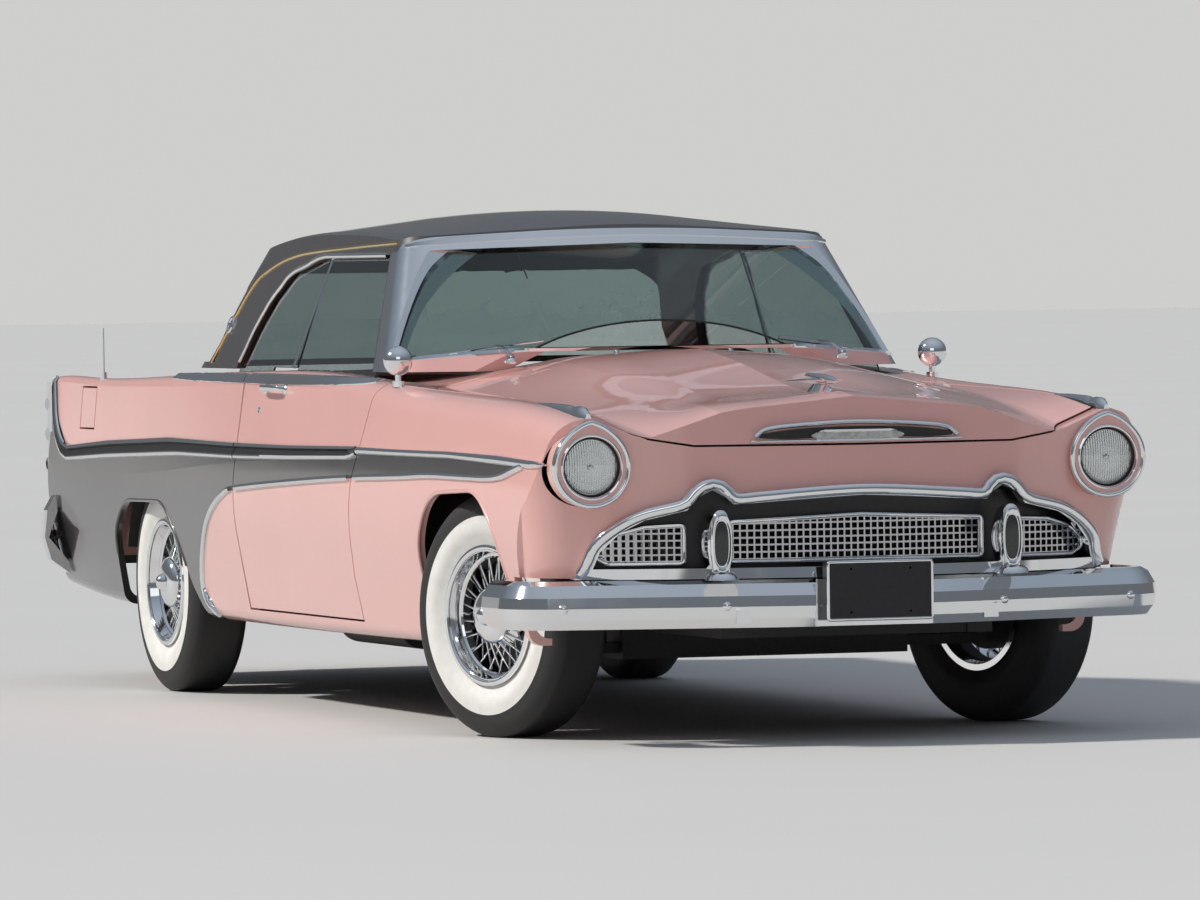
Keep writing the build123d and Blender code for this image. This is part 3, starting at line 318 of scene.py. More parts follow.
tail = {"x": 0.840, "y": 2.6895, "levels": (0.712, 0.812, 0.912), "lens": 0.0262}


def towerFinish(name):
    # tail lamp tower: three ruby lenses in a bright housing
    material, tree, shader = startMaterial(name, paints["chrome"], 0.08, 1.0)
    place = splitPlace(tree)
    across = mathNode(tree, "SUBTRACT", mathNode(tree, "ABSOLUTE", place["X"]), tail["x"])
    square = mathNode(tree, "MULTIPLY", across, across)
    mask = 0
    for level in tail["levels"]:
        rise = mathNode(tree, "SUBTRACT", place["Z"], level)
        reach = mathNode(tree, "MULTIPLY_ADD", rise, rise, square)
        mask = mathNode(tree, "MAXIMUM", mask, mathNode(tree, "LESS_THAN", reach, tail["lens"] ** 2))
    feed(tree, shader, {
        "Base Color": mixColour(tree, mask, solid("chrome"), solid("ruby")),
        "Metallic": mathNode(tree, "SUBTRACT", 1, mask),
    })
    addBump(tree, shader, mathNode(tree, "MULTIPLY", waves(tree, place["Z"], 1400), mask), 0.4, 0.001)
    return material


def brightMetal(name, colour, roughness=0.06):
    material, tree, shader = startMaterial(name, colour, roughness, 1.0)
    values = {"Value": addNoise(tree, 14, 5), "To Min": roughness * 0.7, "To Max": roughness * 1.5}
    feed(tree, shader, {"Roughness": addNode(tree, "MapRange", values, "Result")})
    addBump(tree, shader, addNoise(tree, 40), 0.015, 0.001)
    return material


def windowGlass(name, colour):
    material, tree, shader = startMaterial(name, colour, 0.0)
    shade = shadeColour(tree, addNoise(tree, 1.2), colour, 0.96)
    feed(tree, shader, {"Transmission Weight": 1.0, "IOR": 1.48, "Base Color": shade})
    return material


def flutedGlass(name, colour):
    # clear lens with upright flutes moulded in its face
    material, tree, shader = startMaterial(name, colour, 0.02)
    feed(tree, shader, {"Transmission Weight": 1.0, "IOR": 1.45})
    place = splitPlace(tree)
    height = mathNode(tree, "MULTIPLY_ADD", waves(tree, place["Z"], 240), 0.3, waves(tree, place["X"], 900))
    addBump(tree, shader, height, 0.5, 0.0012)
    return material


def dullCoat(name, colour, roughness, grain, depth):
    material, tree, shader = startMaterial(name, colour, roughness)
    noise = addNoise(tree, grain, 6)
    feed(tree, shader, {"Base Color": shadeColour(tree, noise, colour, 0.7)})
    addBump(tree, shader, noise, 0.3, depth)
    return material


def axlePlace(tree, centre, axis):
    # distance from the axle and place along it
    def step(operation, output, *values):
        return addNode(tree, "VectorMath", dict(enumerate(values)), output, operation=operation)

    minus = step("SUBTRACT", "Vector", addNode(tree, "TexCoord", {}, "Object"), centre)
    radius = step("LENGTH", "Value", step("CROSS_PRODUCT", "Vector", minus, axis))
    return radius, step("DOT_PRODUCT", "Value", minus, axis)


# where a wheel's looks change: radius from the axle, or place along it
wheelMarks = {
    "drum": 0.176, "drumFace": -0.003, "white": 0.2865, "whiteFace": 0.03, "lip": 0.2885, "lipHalf": 0.002,
    "tread": 0.338, "groove": -0.55,
}


def wheelFinish(name, centre, axis):
    # bright spokes and rim before a dark drum
    material, tree, shader = startMaterial(name, paints["chrome"], 0.1, 1.0)
    radius, along = axlePlace(tree, centre, axis)
    inner = mathNode(tree, "LESS_THAN", along, wheelMarks["drumFace"])
    drum = mathNode(tree, "MULTIPLY", inner, mathNode(tree, "LESS_THAN", radius, wheelMarks["drum"]))
    feed(tree, shader, {
        "Base Color": mixColour(tree, drum, solid("chrome"), solid("underseal")),
        "Metallic": mathNode(tree, "SUBTRACT", 1, drum),
        "Roughness": mathNode(tree, "MULTIPLY_ADD", drum, 0.5, 0.08),
    })
    addBump(tree, shader, waves(tree, radius, 2600), 0.04, 0.0003)
    return material


def whitewallRubber(name, centre, axis):
    # white ring on the outer wall, black shoulder and ribbed tread, worked out round the axle
    material, tree, shader = startMaterial(name, paints["rubber"], 0.62)
    radius, along = axlePlace(tree, centre, axis)
    inside = mathNode(tree, "LESS_THAN", radius, wheelMarks["white"])
    outer = mathNode(tree, "GREATER_THAN", along, wheelMarks["whiteFace"])
    ring = mathNode(tree, "MULTIPLY", inside, outer)
    white = shadeColour(tree, addNoise(tree, 30, 5), paints["whitewall"], 0.93)
    feed(tree, shader, {"Base Color": mixColour(tree, ring, solid("rubber"), white)})
    grooves = mathNode(tree, "LESS_THAN", waves(tree, along, 420), wheelMarks["groove"])
    tread = mathNode(tree, "GREATER_THAN", radius, wheelMarks["tread"])
    depth = mathNode(tree, "MULTIPLY", grooves, tread)
    edge = mathNode(tree, "ABSOLUTE", mathNode(tree, "SUBTRACT", radius, wheelMarks["lip"]))
    lip = mathNode(tree, "MULTIPLY", mathNode(tree, "LESS_THAN", edge, wheelMarks["lipHalf"]), 0.4)
    addBump(tree, shader, mathNode(tree, "SUBTRACT", lip, depth), 1.0, 0.004)
    return material


pinkPaint = lacquer("pinkLacquer", paints["pink"])
charcoalPaint = lacquer("charcoalLacquer", paints["charcoal"])
sidePaint = twoTone("twoToneLacquer")
chrome = brightMetal("brightChrome", paints["chrome"])
wireChrome = brightMetal("wireChrome", (0.52, 0.52, 0.53), 0.12)
gold = brightMetal("goldTrim", paints["gold"], 0.12)
clearGlass = windowGlass("tintedGlass", paints["glass"])
flutedLens = flutedGlass("flutedLens", paints["lens"])
smokedLens = dullCoat("podLens", (0.055, 0.058, 0.055), 0.12, 300, 0.0004)
mirrorSilver = brightMetal("lampSilver", (0.9, 0.9, 0.9), 0.12)
dialFace = dullCoat("dialFace", (0.05, 0.05, 0.05), 0.3, 90, 0.0003)
castWhite = dullCoat("shieldEnamel", (0.55, 0.54, 0.52), 0.25, 90, 0.0003)
blackPaint = dullCoat("plateBlack", paints["black"], 0.38, 60, 0.0003)
underCoat = dullCoat("underseal", paints["underseal"], 0.7, 120, 0.001)
castIron = dullCoat("castIron", paints["iron"], 0.6, 200, 0.001)
carpet = dullCoat("carpetPile", paints["carpet"], 0.95, 700, 0.002)
hide = dullCoat("seatHide", paints["hide"], 0.5, 380, 0.0006)
insertCloth = dullCoat("seatInsert", paints["insert"], 0.8, 500, 0.0006)
dashPaint = lacquer("dashLacquer", paints["hide"])


def wheelMiddle(name):
    low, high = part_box(name)
    return (low + high) / 2


steer = math.radians(18)
wheelAxes = {
    "front_left": (math.cos(steer), math.sin(steer), 0),
    "front_right": (-math.cos(steer), -math.sin(steer), 0),
    "rear_left": (1, 0, 0),
    "rear_right": (-1, 0, 0),
}
finishes = {}
for material, names in (
    (sidePaint, "front_fender_left front_fender_right door_left door_right sills"),
    (sidePaint, "rear_quarter_left rear_quarter_right"),
    (pinkPaint, "nose_panel cowl rear_deck tail_panel hood trunk_lid fuel_door headlight_bezels"),
    (charcoalPaint, "roof"),
    (chrome, "grille_surround front_bumper parking_lights rear_bumper mirrors antenna"),
    (wireChrome, "grille_mesh"),
    (blackPaint, "grille_tray plate_holder"),
    (frameFinish("glassSurround"), "windshield_frame"),
    (clearGlass, "windshield rear_window quarter_windows door_glass_left door_glass_right"),
    (flutedLens, "headlights"),
    (towerFinish("tailTower"), "tail_lights"),
    (castIron, "engine_block"),
    (carpet, "floor_pan"),
    (hide, "front_seat rear_seat"),
    (dashPaint, "dashboard steering_column steering_wheel"),
):
    finishes.update(dict.fromkeys(names.split(), material))
for corner, axis in wheelAxes.items():
    centre = wheelMiddle(f"tyre_{corner}")
    finishes[f"wheel_{corner}"] = wheelFinish(f"wireWheel_{corner}", centre, axis)
    finishes[f"tyre_{corner}"] = whitewallRubber(f"whitewall_{corner}", centre, axis)
for name, node in nodes.items():
    node.data.materials.clear()
    node.data.materials.append(finishes.get(name, underCoat))
    for face in node.data.polygons:
        face.use_smooth = True
print("materials set")


# modelling helpers
def pick(piece):
    bpy.ops.object.select_all(action="DESELECT")
    piece.select_set(True)
    bpy.context.view_layer.objects.active = piece


def unselectMesh(mesh):
    for part in (mesh.polygons, mesh.vertices, mesh.edges):
        for item in part:
            item.select = False


def dividedTube(name, sides, rings):
    # a closed bar whose side edges are cut into rings
    bpy.ops.mesh.primitive_cylinder_add(vertices=sides, radius=1, depth=2, location=(0, 0, 0))
    piece = bpy.context.object
    piece.name = name
    unselectMesh(piece.data)
    for edge in piece.data.edges:
        low, high = (piece.data.vertices[index].co.z for index in edge.vertices)
        edge.select = abs(low - high) > 1
    if rings > 1:
        bpy.ops.object.mode_set(mode="EDIT")
        bpy.ops.mesh.select_mode(type="EDGE")
        bpy.ops.mesh.subdivide(number_cuts=rings - 1)
        bpy.ops.object.mode_set(mode="OBJECT")
    return piece


def finishPiece(piece, body="body", materials=(chrome,), slot="chrome", angle=35):
    # normals outwards, smooth shading, finish and the body it moves with
    pick(piece)
    bpy.ops.object.transform_apply(location=True, rotation=True, scale=True)
    bpy.ops.object.mode_set(mode="EDIT")
    bpy.ops.mesh.select_all(action="SELECT")
    bpy.ops.mesh.remove_doubles(threshold=0.00002)
    bpy.ops.mesh.normals_make_consistent(inside=False)
    bpy.ops.object.mode_set(mode="OBJECT")
    bpy.ops.object.shade_smooth_by_angle(angle=math.radians(angle))
    for material in materials:
        piece.data.materials.append(material)
    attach(piece, body)
    return piece


def applyModifier(piece, kind, **settings):
    pick(piece)
    modifier = piece.modifiers.new(kind.lower(), kind)
    for key, value in settings.items():
        setattr(modifier, key, value)
    bpy.ops.object.modifier_apply(modifier=modifier.name)


def railFrames(points, outs):
    # point, across and out directions at each place on a line; one out direction can serve them all
    if isinstance(outs, Vector):
        outs = [outs] * len(points)
    frames = []
    for index, (point, out) in enumerate(zip(points, outs)):
        before = points[max(index - 1, 0)]
        after = points[min(index + 1, len(points) - 1)]
        along = (after - before).normalized()
        out = (out - along * out.dot(along)).normalized()
        frames.append((point, out.cross(along).normalized(), out))
    return frames


def sweepBar(name, frames, profile, widths=None, heights=None, dark=(), **finish):
    # lays a bar with the given cross-section along the frames
    sides = len(profile)
    rings = len(frames) - 1
    widths = widths or [1] * len(frames)
    heights = heights or [1] * len(frames)
    piece = dividedTube(name, sides, rings)
    for vertex in piece.data.vertices:
        turn = math.atan2(vertex.co.y, vertex.co.x) / (2 * math.pi) * sides
        across, out = profile[round(turn) % sides]
        ring = round((vertex.co.z + 1) / 2 * rings)
        point, acrossWay, outWay = frames[ring]
        vertex.co = point + acrossWay * across * widths[ring] + outWay * out * heights[ring]
    for face in piece.data.polygons if dark else ():
        nearest = min(frames, key=lambda frame: (frame[0] - face.center).length_squared)
        share = (face.center - nearest[0]).dot(nearest[1]) / widths[frames.index(nearest)]
        face.material_index = 1 if dark[0] < share < dark[1] else 0
    return finishPiece(piece, **finish)


def ringProfile(radius, high=None, count=8):
    high = high or radius
    turns = [index * 2 * math.pi / count for index in range(count)]
    return tuple((radius * math.cos(turn), high * math.sin(turn)) for turn in turns)


def layTube(name, points, outs, radius, high=None, count=8, **finish):
    # a round or oval bar along the points
    sweepBar(name, railFrames(points, outs), ringProfile(radius, high, count), angle=70, **finish)


def sweepLoop(name, points, out, profile, **finish):
    # lays a closed hoop with the given cross-section round the points
    count, sides = len(points), len(profile)
    bpy.ops.mesh.primitive_torus_add(
        major_segments=count, minor_segments=sides, major_radius=2, minor_radius=1,
    )
    piece = bpy.context.object
    piece.name = name
    frames = []
    for index, point in enumerate(points):
        alongWay = (points[(index + 1) % count] - points[index - 1]).normalized()
        outWay = (out - alongWay * out.dot(alongWay)).normalized()
        frames.append((point, outWay.cross(alongWay), outWay))
    for vertex in piece.data.vertices:
        ring = round(math.atan2(vertex.co.y, vertex.co.x) / (2 * math.pi) * count) % count
        reach = math.hypot(vertex.co.x, vertex.co.y) - 2
        spot = round(math.atan2(vertex.co.z, reach) / (2 * math.pi) * sides) % sides
        point, acrossWay, outWay = frames[ring]
        vertex.co = point + acrossWay * profile[spot][0] + outWay * profile[spot][1]
    finishPiece(piece, angle=70, **finish)


def turnedPiece(name, centre, axis, profile, segments=40, across=None, wide=1, tall=1, boxy=1.0, **finish):
    # turns rows of radius and height about an axis, round, oval or squarer than an oval
    rings = len(profile) - 1
    piece = dividedTube(name, segments, rings)
    if profile[0] == profile[-1]:
        unselectMesh(piece.data)
        for face in piece.data.polygons:
            face.select = len(face.vertices) > 4
        bpy.context.tool_settings.mesh_select_mode = (False, False, True)
        bpy.ops.object.mode_set(mode="EDIT")
        bpy.ops.mesh.delete(type="ONLY_FACE")
        bpy.ops.object.mode_set(mode="OBJECT")
    axis = Vector(axis).normalized()
    first = Vector(across).normalized() if across else axis.orthogonal().normalized()
    second = axis.cross(first)
    centre = Vector(centre)
    for vertex in piece.data.vertices:
        turn = math.atan2(vertex.co.y, vertex.co.x)
        radius, height = profile[round((vertex.co.z + 1) / 2 * rings)]
        cosine, sine = math.cos(turn), math.sin(turn)
        cosine = math.copysign(abs(cosine) ** boxy, cosine)
        sine = math.copysign(abs(sine) ** boxy, sine)
        ways = first * cosine * radius * wide + second * sine * radius * tall
        vertex.co = centre + ways + axis * height
    return finishPiece(piece, **finish)


def roundedLine(corners, step=0.02):
    # a line through corners given as place and radius, its bends rounded and cut into short runs
    spots = []
    for index, (corner, radius) in enumerate(corners):
        if radius <= 0 or index in (0, len(corners) - 1):
            spots.append(corner.copy())
            continue
        back = (corners[index - 1][0] - corner)
        ahead = (corners[index + 1][0] - corner)
        half = back.angle(ahead) / 2
        reach = min(radius / math.tan(half), back.length * 0.49, ahead.length * 0.49)
        start, end = corner + back.normalized() * reach, corner + ahead.normalized() * reach
        cuts = max(3, int((math.pi - 2 * half) * radius / step))
        for cut in range(cuts + 1):
            share = cut / cuts
            spots.append(start.lerp(corner, share).lerp(corner.lerp(end, share), share))
    line = [spots[0]]
    for spot in spots[1:]:
        gap = (spot - line[-1]).length
        if gap < 1e-5:
            continue
        runs = max(1, int(gap / (step * 2)))
        start = line[-1].copy()
        for run in range(1, runs + 1):
            line.append(start.lerp(spot, run / runs))
    return line


def smoothLine(points, step=0.03):
    # an even line through the points, curved between them
    line = []
    for index in range(len(points) - 1):
        p1, p2 = points[index], points[index + 1]
        p0 = points[index - 1] if index else p1 * 2 - p2
        p3 = points[index + 2] if index + 2 < len(points) else p2 * 2 - p1
        cuts = max(1, round((p2 - p1).length / step))
        for cut in range(cuts):
            t = cut / cuts
            line.append(0.5 * (
                p1 * 2 + (p2 - p0) * t + (p0 * 2 - p1 * 5 + p2 * 4 - p3) * t * t
                + (p1 * 3 - p0 - p2 * 3 + p3) * t * t * t
            ))
    line.append(points[-1].copy())
    return line


def nodeTree(*names):
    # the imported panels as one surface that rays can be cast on
    vertices, polygons = [], []
    for name in names:
        mesh = nodes[name].data
        start = len(vertices)
        vertices += [vertex.co.copy() for vertex in mesh.vertices]
        polygons += [[start + index for index in face.vertices] for face in mesh.polygons]
    return BVHTree.FromPolygons(vertices, polygons)


def castOn(tree, start, way, sideStep=(0, 0, 0)):
    # the outermost place on the surface, so that a ray that falls in a shut line doesn't count
    start, way, sideStep = Vector(start), Vector(way), Vector(sideStep)
    best = None
    for shift in (Vector(), sideStep, -sideStep):
        spot, normal = tree.ray_cast(start + shift, way)[:2]
        if spot is None:
            continue
        spot = spot - shift
        if normal.dot(way) > 0:
            normal = -normal
        if best is None or (spot - best[0]).dot(way) < -0.0005:
            best = (spot, normal)
    return best


def fromAbove(tree, x, y, sideStep=(0.003, 0, 0)):
    return castOn(tree, (x, y, 1.5), (0, 0, -1), sideStep)


def fromSide(tree, side, y, z, sideStep=(0, 0, 0)):
    return castOn(tree, (1.5 * side, y, z), (-side, 0, 0), sideStep)


def fromBehind(tree, x, z, sideStep):
    return castOn(tree, (x, 3.4, z), (0, -1, 0), sideStep)


def fromAhead(tree, x, z, fallback=-2.6):
    found = castOn(tree, (x, -3.5, z), (0, 1, 0), (0.006, 0, 0.006))
    return found[0] if found else Vector((x, fallback, z))


flankTree = nodeTree("front_fender_left", "door_left", "rear_quarter_left", "sills")


def onFlank(side, y, z):
    # place and outward direction on the body's side
    found = fromSide(flankTree, 1, y, z, (0, 0.010, 0))
    spot, normal = found if found else (Vector((0.9, y, z)), Vector((1, 0, 0)))
    return Vector((spot.x * side, y, z)), Vector((normal.x * side, normal.y, normal.z))


def flankFrames(side, line):
    return railFrames(*zip(*[onFlank(side, point.y, point.z) for point in line]))


def heightAt(rows, y):
    for (y0, v0), (y1, v1) in zip(rows, rows[1:]):
        if y <= y1:
            return v0 + (v1 - v0) * max(0, (y - y0) / (y1 - y0))
    return rows[-1][1]


def spreadLine(rows, step):
    return smoothLine([Vector((0, y, z)) for y, z in rows], step)


# side mouldings
sideTrim = {
    "doorFront": -0.8865,
    "doorRear": 0.368,
    "seamGap": 0.004,
    "upperTop": (
        (-2.417, 0.808), (-2.158, 0.818), (-1.732, 0.823), (-1.280, 0.822), (-0.823, 0.824), (-0.204, 0.818),
        (0.427, 0.818), (1.178, 0.823), (1.899, 0.803), (2.390, 0.779),
    ),
    "upperLow": (
        (-2.412, 0.783), (-2.170, 0.790), (-1.742, 0.801), (-0.90, 0.801), (-0.823, 0.783), (-0.225, 0.773),
        (0.380, 0.766), (1.031, 0.765), (1.882, 0.744), (2.390, 0.727),
    ),
    "spearStart": -2.545,
    "topEnd": 2.39,
    "finRise": ((2.390, 0.753), (2.470, 0.770), (2.540, 0.812), (2.590, 0.872), (2.622, 0.945),
                (2.640, 1.000)),
    "lower": (
        (-2.356, 0.790), (-2.277, 0.774), (-2.186, 0.757), (-2.061, 0.7505), (-1.848, 0.7505),
        (-1.580, 0.7505), (-1.313, 0.742), (-0.861, 0.730), (-0.347, 0.7105), (0.332, 0.677),
        (0.472, 0.6575), (0.587, 0.6175), (0.690, 0.5615), (0.779, 0.4835), (0.832, 0.4075),
        (0.850, 0.350), (0.822, 0.305), (0.742, 0.270),
    ),
    "lowerWidth": 0.0095,
    "lowerFront": -0.862,
}
singleBar = (
    (-1, -0.003), (-1, 0.003), (-0.75, 0.0085), (-0.3, 0.011), (0.3, 0.011), (0.75, 0.0085), (1, 0.003),
    (1, -0.003),
)
doubleBar = (
    (-1, -0.003), (-1, 0.004), (-0.9, 0.010), (-0.5, 0.012), (-0.36, 0.003), (0.36, 0.003), (0.5, 0.012),
    (0.9, 0.010), (1, 0.004), (1, -0.003),
)


def upperSpear(label, side):
    front, rear, gap = sideTrim["doorFront"], sideTrim["doorRear"], sideTrim["seamGap"]
    runs = (
        ("body", sideTrim["spearStart"], front - gap, "spearFront", singleBar),
        (f"door_{label}", front + gap, rear - gap, "spearDoor", doubleBar),
        ("body", rear + gap, sideTrim["topEnd"], "spearRear", doubleBar),
    )
    for body, start, end, name, profile in runs:
        line, halves = [], []
        count = int((end - start) / 0.04)
        for index in range(count + 1):
            y = start + (end - start) * index / count
            high, deep = heightAt(sideTrim["upperTop"], y), heightAt(sideTrim["upperLow"], y)
            line.append(Vector((0, y, (high + deep) / 2)))
            tip = math.sqrt(max(0.02, (y + 2.548) / 0.118)) if y < -2.43 else 1
            halves.append((high - deep) / 2 * tip)
        if name == "spearRear":
            rise = spreadLine(sideTrim["finRise"], 0.02)[1:]
            line += rise
            halves += [0.026 - 0.010 * index / len(rise) for index in range(len(rise))]
        look = {} if profile is singleBar else {"dark": (-0.45, 0.45), "materials": (chrome, blackPaint)}
        sweepBar(f"{name}_{label}", flankFrames(side, line), profile, widths=halves, body=body, **look)


def lowerMoulding(label, side):
    line = spreadLine(sideTrim["lower"], 0.03)
    front, rear, gap = sideTrim["lowerFront"], sideTrim["doorRear"], sideTrim["seamGap"]
    runs = (
        ("body", [p for p in line if p.y < front - gap], "moulding_front"),
        (f"door_{label}", [p for p in line if front + gap < p.y < rear - gap], "moulding_door"),
        ("body", [p for p in line if p.y > rear + gap], "moulding_rear"),
    )
    for body, points, name in runs:
        widths = [sideTrim["lowerWidth"]] * len(points)
        sweepBar(f"{name}_{label}", flankFrames(side, points), singleBar, widths=widths, body=body)


for label, side in sides:
    upperSpear(label, side)
    lowerMoulding(label, side)
print("side mouldings laid")

# bright lips round the wheel openings
archLip = {
    "front": (-1.8, ((0.350, 0.255, 0), (0.382, 0.520, 0.2), (0.230, 0.700, 0.25), (-0.190, 0.716, 0.25),
                     (-0.330, 0.600, 0.25), (-0.395, 0.400, 0.10), (-0.4135, 0.20, 0))),
    "rear": (1.4, ((0.447, 0.275, 0), (0.455, 0.500, 0.13), (0.300, 0.612, 0.25), (-0.180, 0.618, 0.2),
                   (-0.300, 0.520, 0.2), (-0.420, 0.355, 0.2), (-0.560, 0.245, 0))),
    "lowest": 0.40,
    "inner": 0.80,
    "inset": 0.012,
}
archLook = {
    "front": {"materials": (pinkPaint,), "slot": "pink_paint"},
    "rear": {"materials": (charcoalPaint,), "slot": "charcoal_paint"},
}
for end, look in archLook.items():
    centre, rows = archLip[end]
    line = roundedLine([(Vector((0, centre + y, z)), radius) for y, z, radius in rows], 0.02)
    for label, side in sides:
        places = []
        for index, point in enumerate(line):
            before, after = line[max(index - 1, 0)], line[min(index + 1, len(line) - 1)]
            run = (after - before).normalized()
            inner = point + Vector((0, run.z, -run.y)) * archLip["inset"]
            found = fromSide(flankTree, 1, inner.y, inner.z, (0, 0.004, 0))
            if found and found[0].x > archLip["inner"] and point.z > archLip["lowest"]:
                places.append(Vector(((found[0].x - 0.003) * side, point.y, point.z)))
        frames = railFrames(places, Vector((side, 0, 0)))
        sweepBar(f"archLip_{end}_{label}", frames, ringProfile(0.007, 0.006), angle=60, **look)
print("arch lips laid")

surroundTree = nodeTree("grille_surround")
meshTree = nodeTree("grille_mesh")
barTree = nodeTree("front_bumper")

# grille: tube round the mouth and bright wire round each mesh
grille = {
    "mouth": (
        (0.785, 0.486), (0.772, 0.510), (0.752, 0.566), (0.698, 0.616), (0.629, 0.652), (0.528, 0.676),
        (0.500, 0.694), (0.486, 0.712), (0.462, 0.731), (0.437, 0.737), (0.412, 0.731), (0.392, 0.714),
        (0.372, 0.694), (0.30, 0.698), (0.20, 0.705), (0.10, 0.711), (0.0, 0.714),
    ),
    "side": ((0.502, 0.513), (0.702, 0.513), (0.736, 0.530), (0.736, 0.556), (0.690, 0.594), (0.610, 0.616),
             (0.502, 0.621)),
    "centre": ((-0.381, 0.516), (0.381, 0.516), (0.381, 0.628), (0, 0.644), (-0.381, 0.628)),
    "wire": ringProfile(0.006, 0.006, 6),
}
mouth = [Vector((x, 0, z)) for x, z in grille["mouth"]]
mouth = smoothLine(mouth + [Vector((-p.x, 0, p.z)) for p in reversed(mouth[:-1])], 0.018)
spots = [fromAhead(surroundTree, point.x, point.z) for point in mouth]
for index, spot in enumerate(spots):
    if index and abs(spot.y - spots[index - 1].y) > 0.03:
        spot.y = spots[index - 1].y
mouthLine = [spot + Vector((0, 0.004, 0)) for spot in spots]
layTube("grilleTube", mouthLine, forward, 0.0185, 0.017, 10)


def wireRound(name, corners, radii):
    places = [(Vector((x, 0, z)), radius) for (x, z), radius in zip(corners, radii)]
    first = (places[0][0] + places[1][0]) / 2
    line = roundedLine([(first, 0)] + places[1:] + places[:1] + [(first, 0)], 0.012)[:-1]
    middle = sum(line, Vector()) / len(line)
    spots = []
    for point in line:
        inner = point + (middle - point).normalized() * 0.005
        spot = fromAhead(meshTree, inner.x, inner.z)
        spots.append(Vector((point.x, spot.y - 0.002, point.z)))
    sweepLoop(name, spots, forward, grille["wire"])


wireRound("meshEdgeMiddle", grille["centre"], (0.012,) * 5)
for label, side in sides:
    corners = [(x * side, z) for x, z in grille["side"]]
    wireRound(f"meshEdge_{label}", corners, (0.012, 0.02, 0.02, 0.03, 0.05, 0.06, 0.012))

# parking lamps in the pods
pod = {
    "x": 0.437, "z": 0.570, "face": -2.702,
    "lens": ((0.0, 0.004), (0.55, 0.0035), (0.85, 0.002), (1.0, -0.001), (1.0, -0.006), (0.0, -0.006)),
    "rim": ((0.98, -0.004), (1.0, 0.002), (1.10, 0.006), (1.24, 0.006), (1.36, 0.001), (1.42, -0.006),
            (0.98, -0.008), (0.98, -0.004)),
    "foot": ((0.0, 0.016), (0.030, 0.016), (0.036, 0.012), (0.044, 0.006), (0.048, -0.006), (0.0, -0.006)),
}
for label, side in sides:
    middle = (pod["x"] * side, pod["face"], pod["z"])
    shape = {"across": (1, 0, 0), "tall": 0.066}
    lens = {"wide": 0.022, "boxy": 0.78, "materials": (smokedLens,), "slot": "lamp_glass"}
    turnedPiece(f"podLens_{label}", middle, forward, pod["lens"], **shape, **lens)
    turnedPiece(f"podRim_{label}", middle, forward, pod["rim"], **shape, wide=0.0235, boxy=0.82, segments=48)
    turnedPiece(f"podFoot_{label}", (pod["x"] * side, -2.700, 0.474), upward, pod["foot"], segments=36)
print("grille finished")

# headlamps: lens over a silvered bowl, dark gasket, bright bead round the peaked bezel
headlamp = {
    "place": (0.779, -2.560, 0.788),
    "lens": ((0.0, 0.0355), (0.020, 0.0350), (0.040, 0.0325), (0.060, 0.028), (0.074, 0.0215),
             (0.0785, 0.018), (0.0785, 0.0145), (0.072, 0.0185), (0.058, 0.0245), (0.038, 0.029),
             (0.020, 0.0315), (0.0, 0.032)),
    "bowl": ((0.0785, 0.0140), (0.070, 0.002), (0.055, -0.012), (0.035, -0.022), (0.012, -0.027),
             (0.0, -0.0275), (0.0, -0.0295), (0.036, -0.0245), (0.057, -0.0145), (0.073, 0.0),
             (0.0815, 0.0130)),
    "bulb": ((0.0, 0.018), (0.006, 0.017), (0.010, 0.012), (0.011, 0.004), (0.007, -0.004), (0.006, -0.026),
             (0.0, -0.026)),
    "gasket": ((0.0780, 0.0235), (0.0805, 0.026), (0.0840, 0.0245), (0.0840, 0.012), (0.0780, 0.012),
               (0.0780, 0.0235)),
    "ring": ((0.0850, 0.0295), (0.0855, 0.0335), (0.0885, 0.0345), (0.0920, 0.0325), (0.0930, 0.0285),
             (0.0850, 0.0285), (0.0850, 0.0295)),
    "bead": ringProfile(0.0085, 0.011, 10),
    "radius": 0.1085,
    "peak": 0.1245,
    "peakWidth": 0.86,
}
lampParts = (
    ("lens", flutedLens, "lamp_glass", 64), ("bowl", mirrorSilver, "chrome", 48),
    ("bulb", mirrorSilver, "chrome", 20), ("gasket", blackPaint, "plate_black", 64),
    ("ring", chrome, "chrome", 64),
)
for label, side in sides:
    place = Vector(headlamp["place"])
    place.x *= side
    for key, material, slot, segments in lampParts:
        name = f"lamp{key.title()}_{label}"
        piece = turnedPiece(name, place, forward, headlamp[key], segments, materials=(material,), slot=slot)
        if key == "lens":
            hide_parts("headlights")
    ring = []
    for index in range(72):
        turn = index / 72 * 2 * math.pi
        reach = headlamp["radius"]
        lean = abs((turn - math.pi / 2 + math.pi) % (2 * math.pi) - math.pi)
        if lean < headlamp["peakWidth"]:
            reach += (headlamp["peak"] - headlamp["radius"]) * (1 - lean / headlamp["peakWidth"]) ** 1.6
        ring.append(place + Vector((math.cos(turn) * reach, -0.0265, math.sin(turn) * reach)))
    sweepLoop(f"lampBead_{label}", ring, forward, headlamp["bead"])
print("headlamps finished")

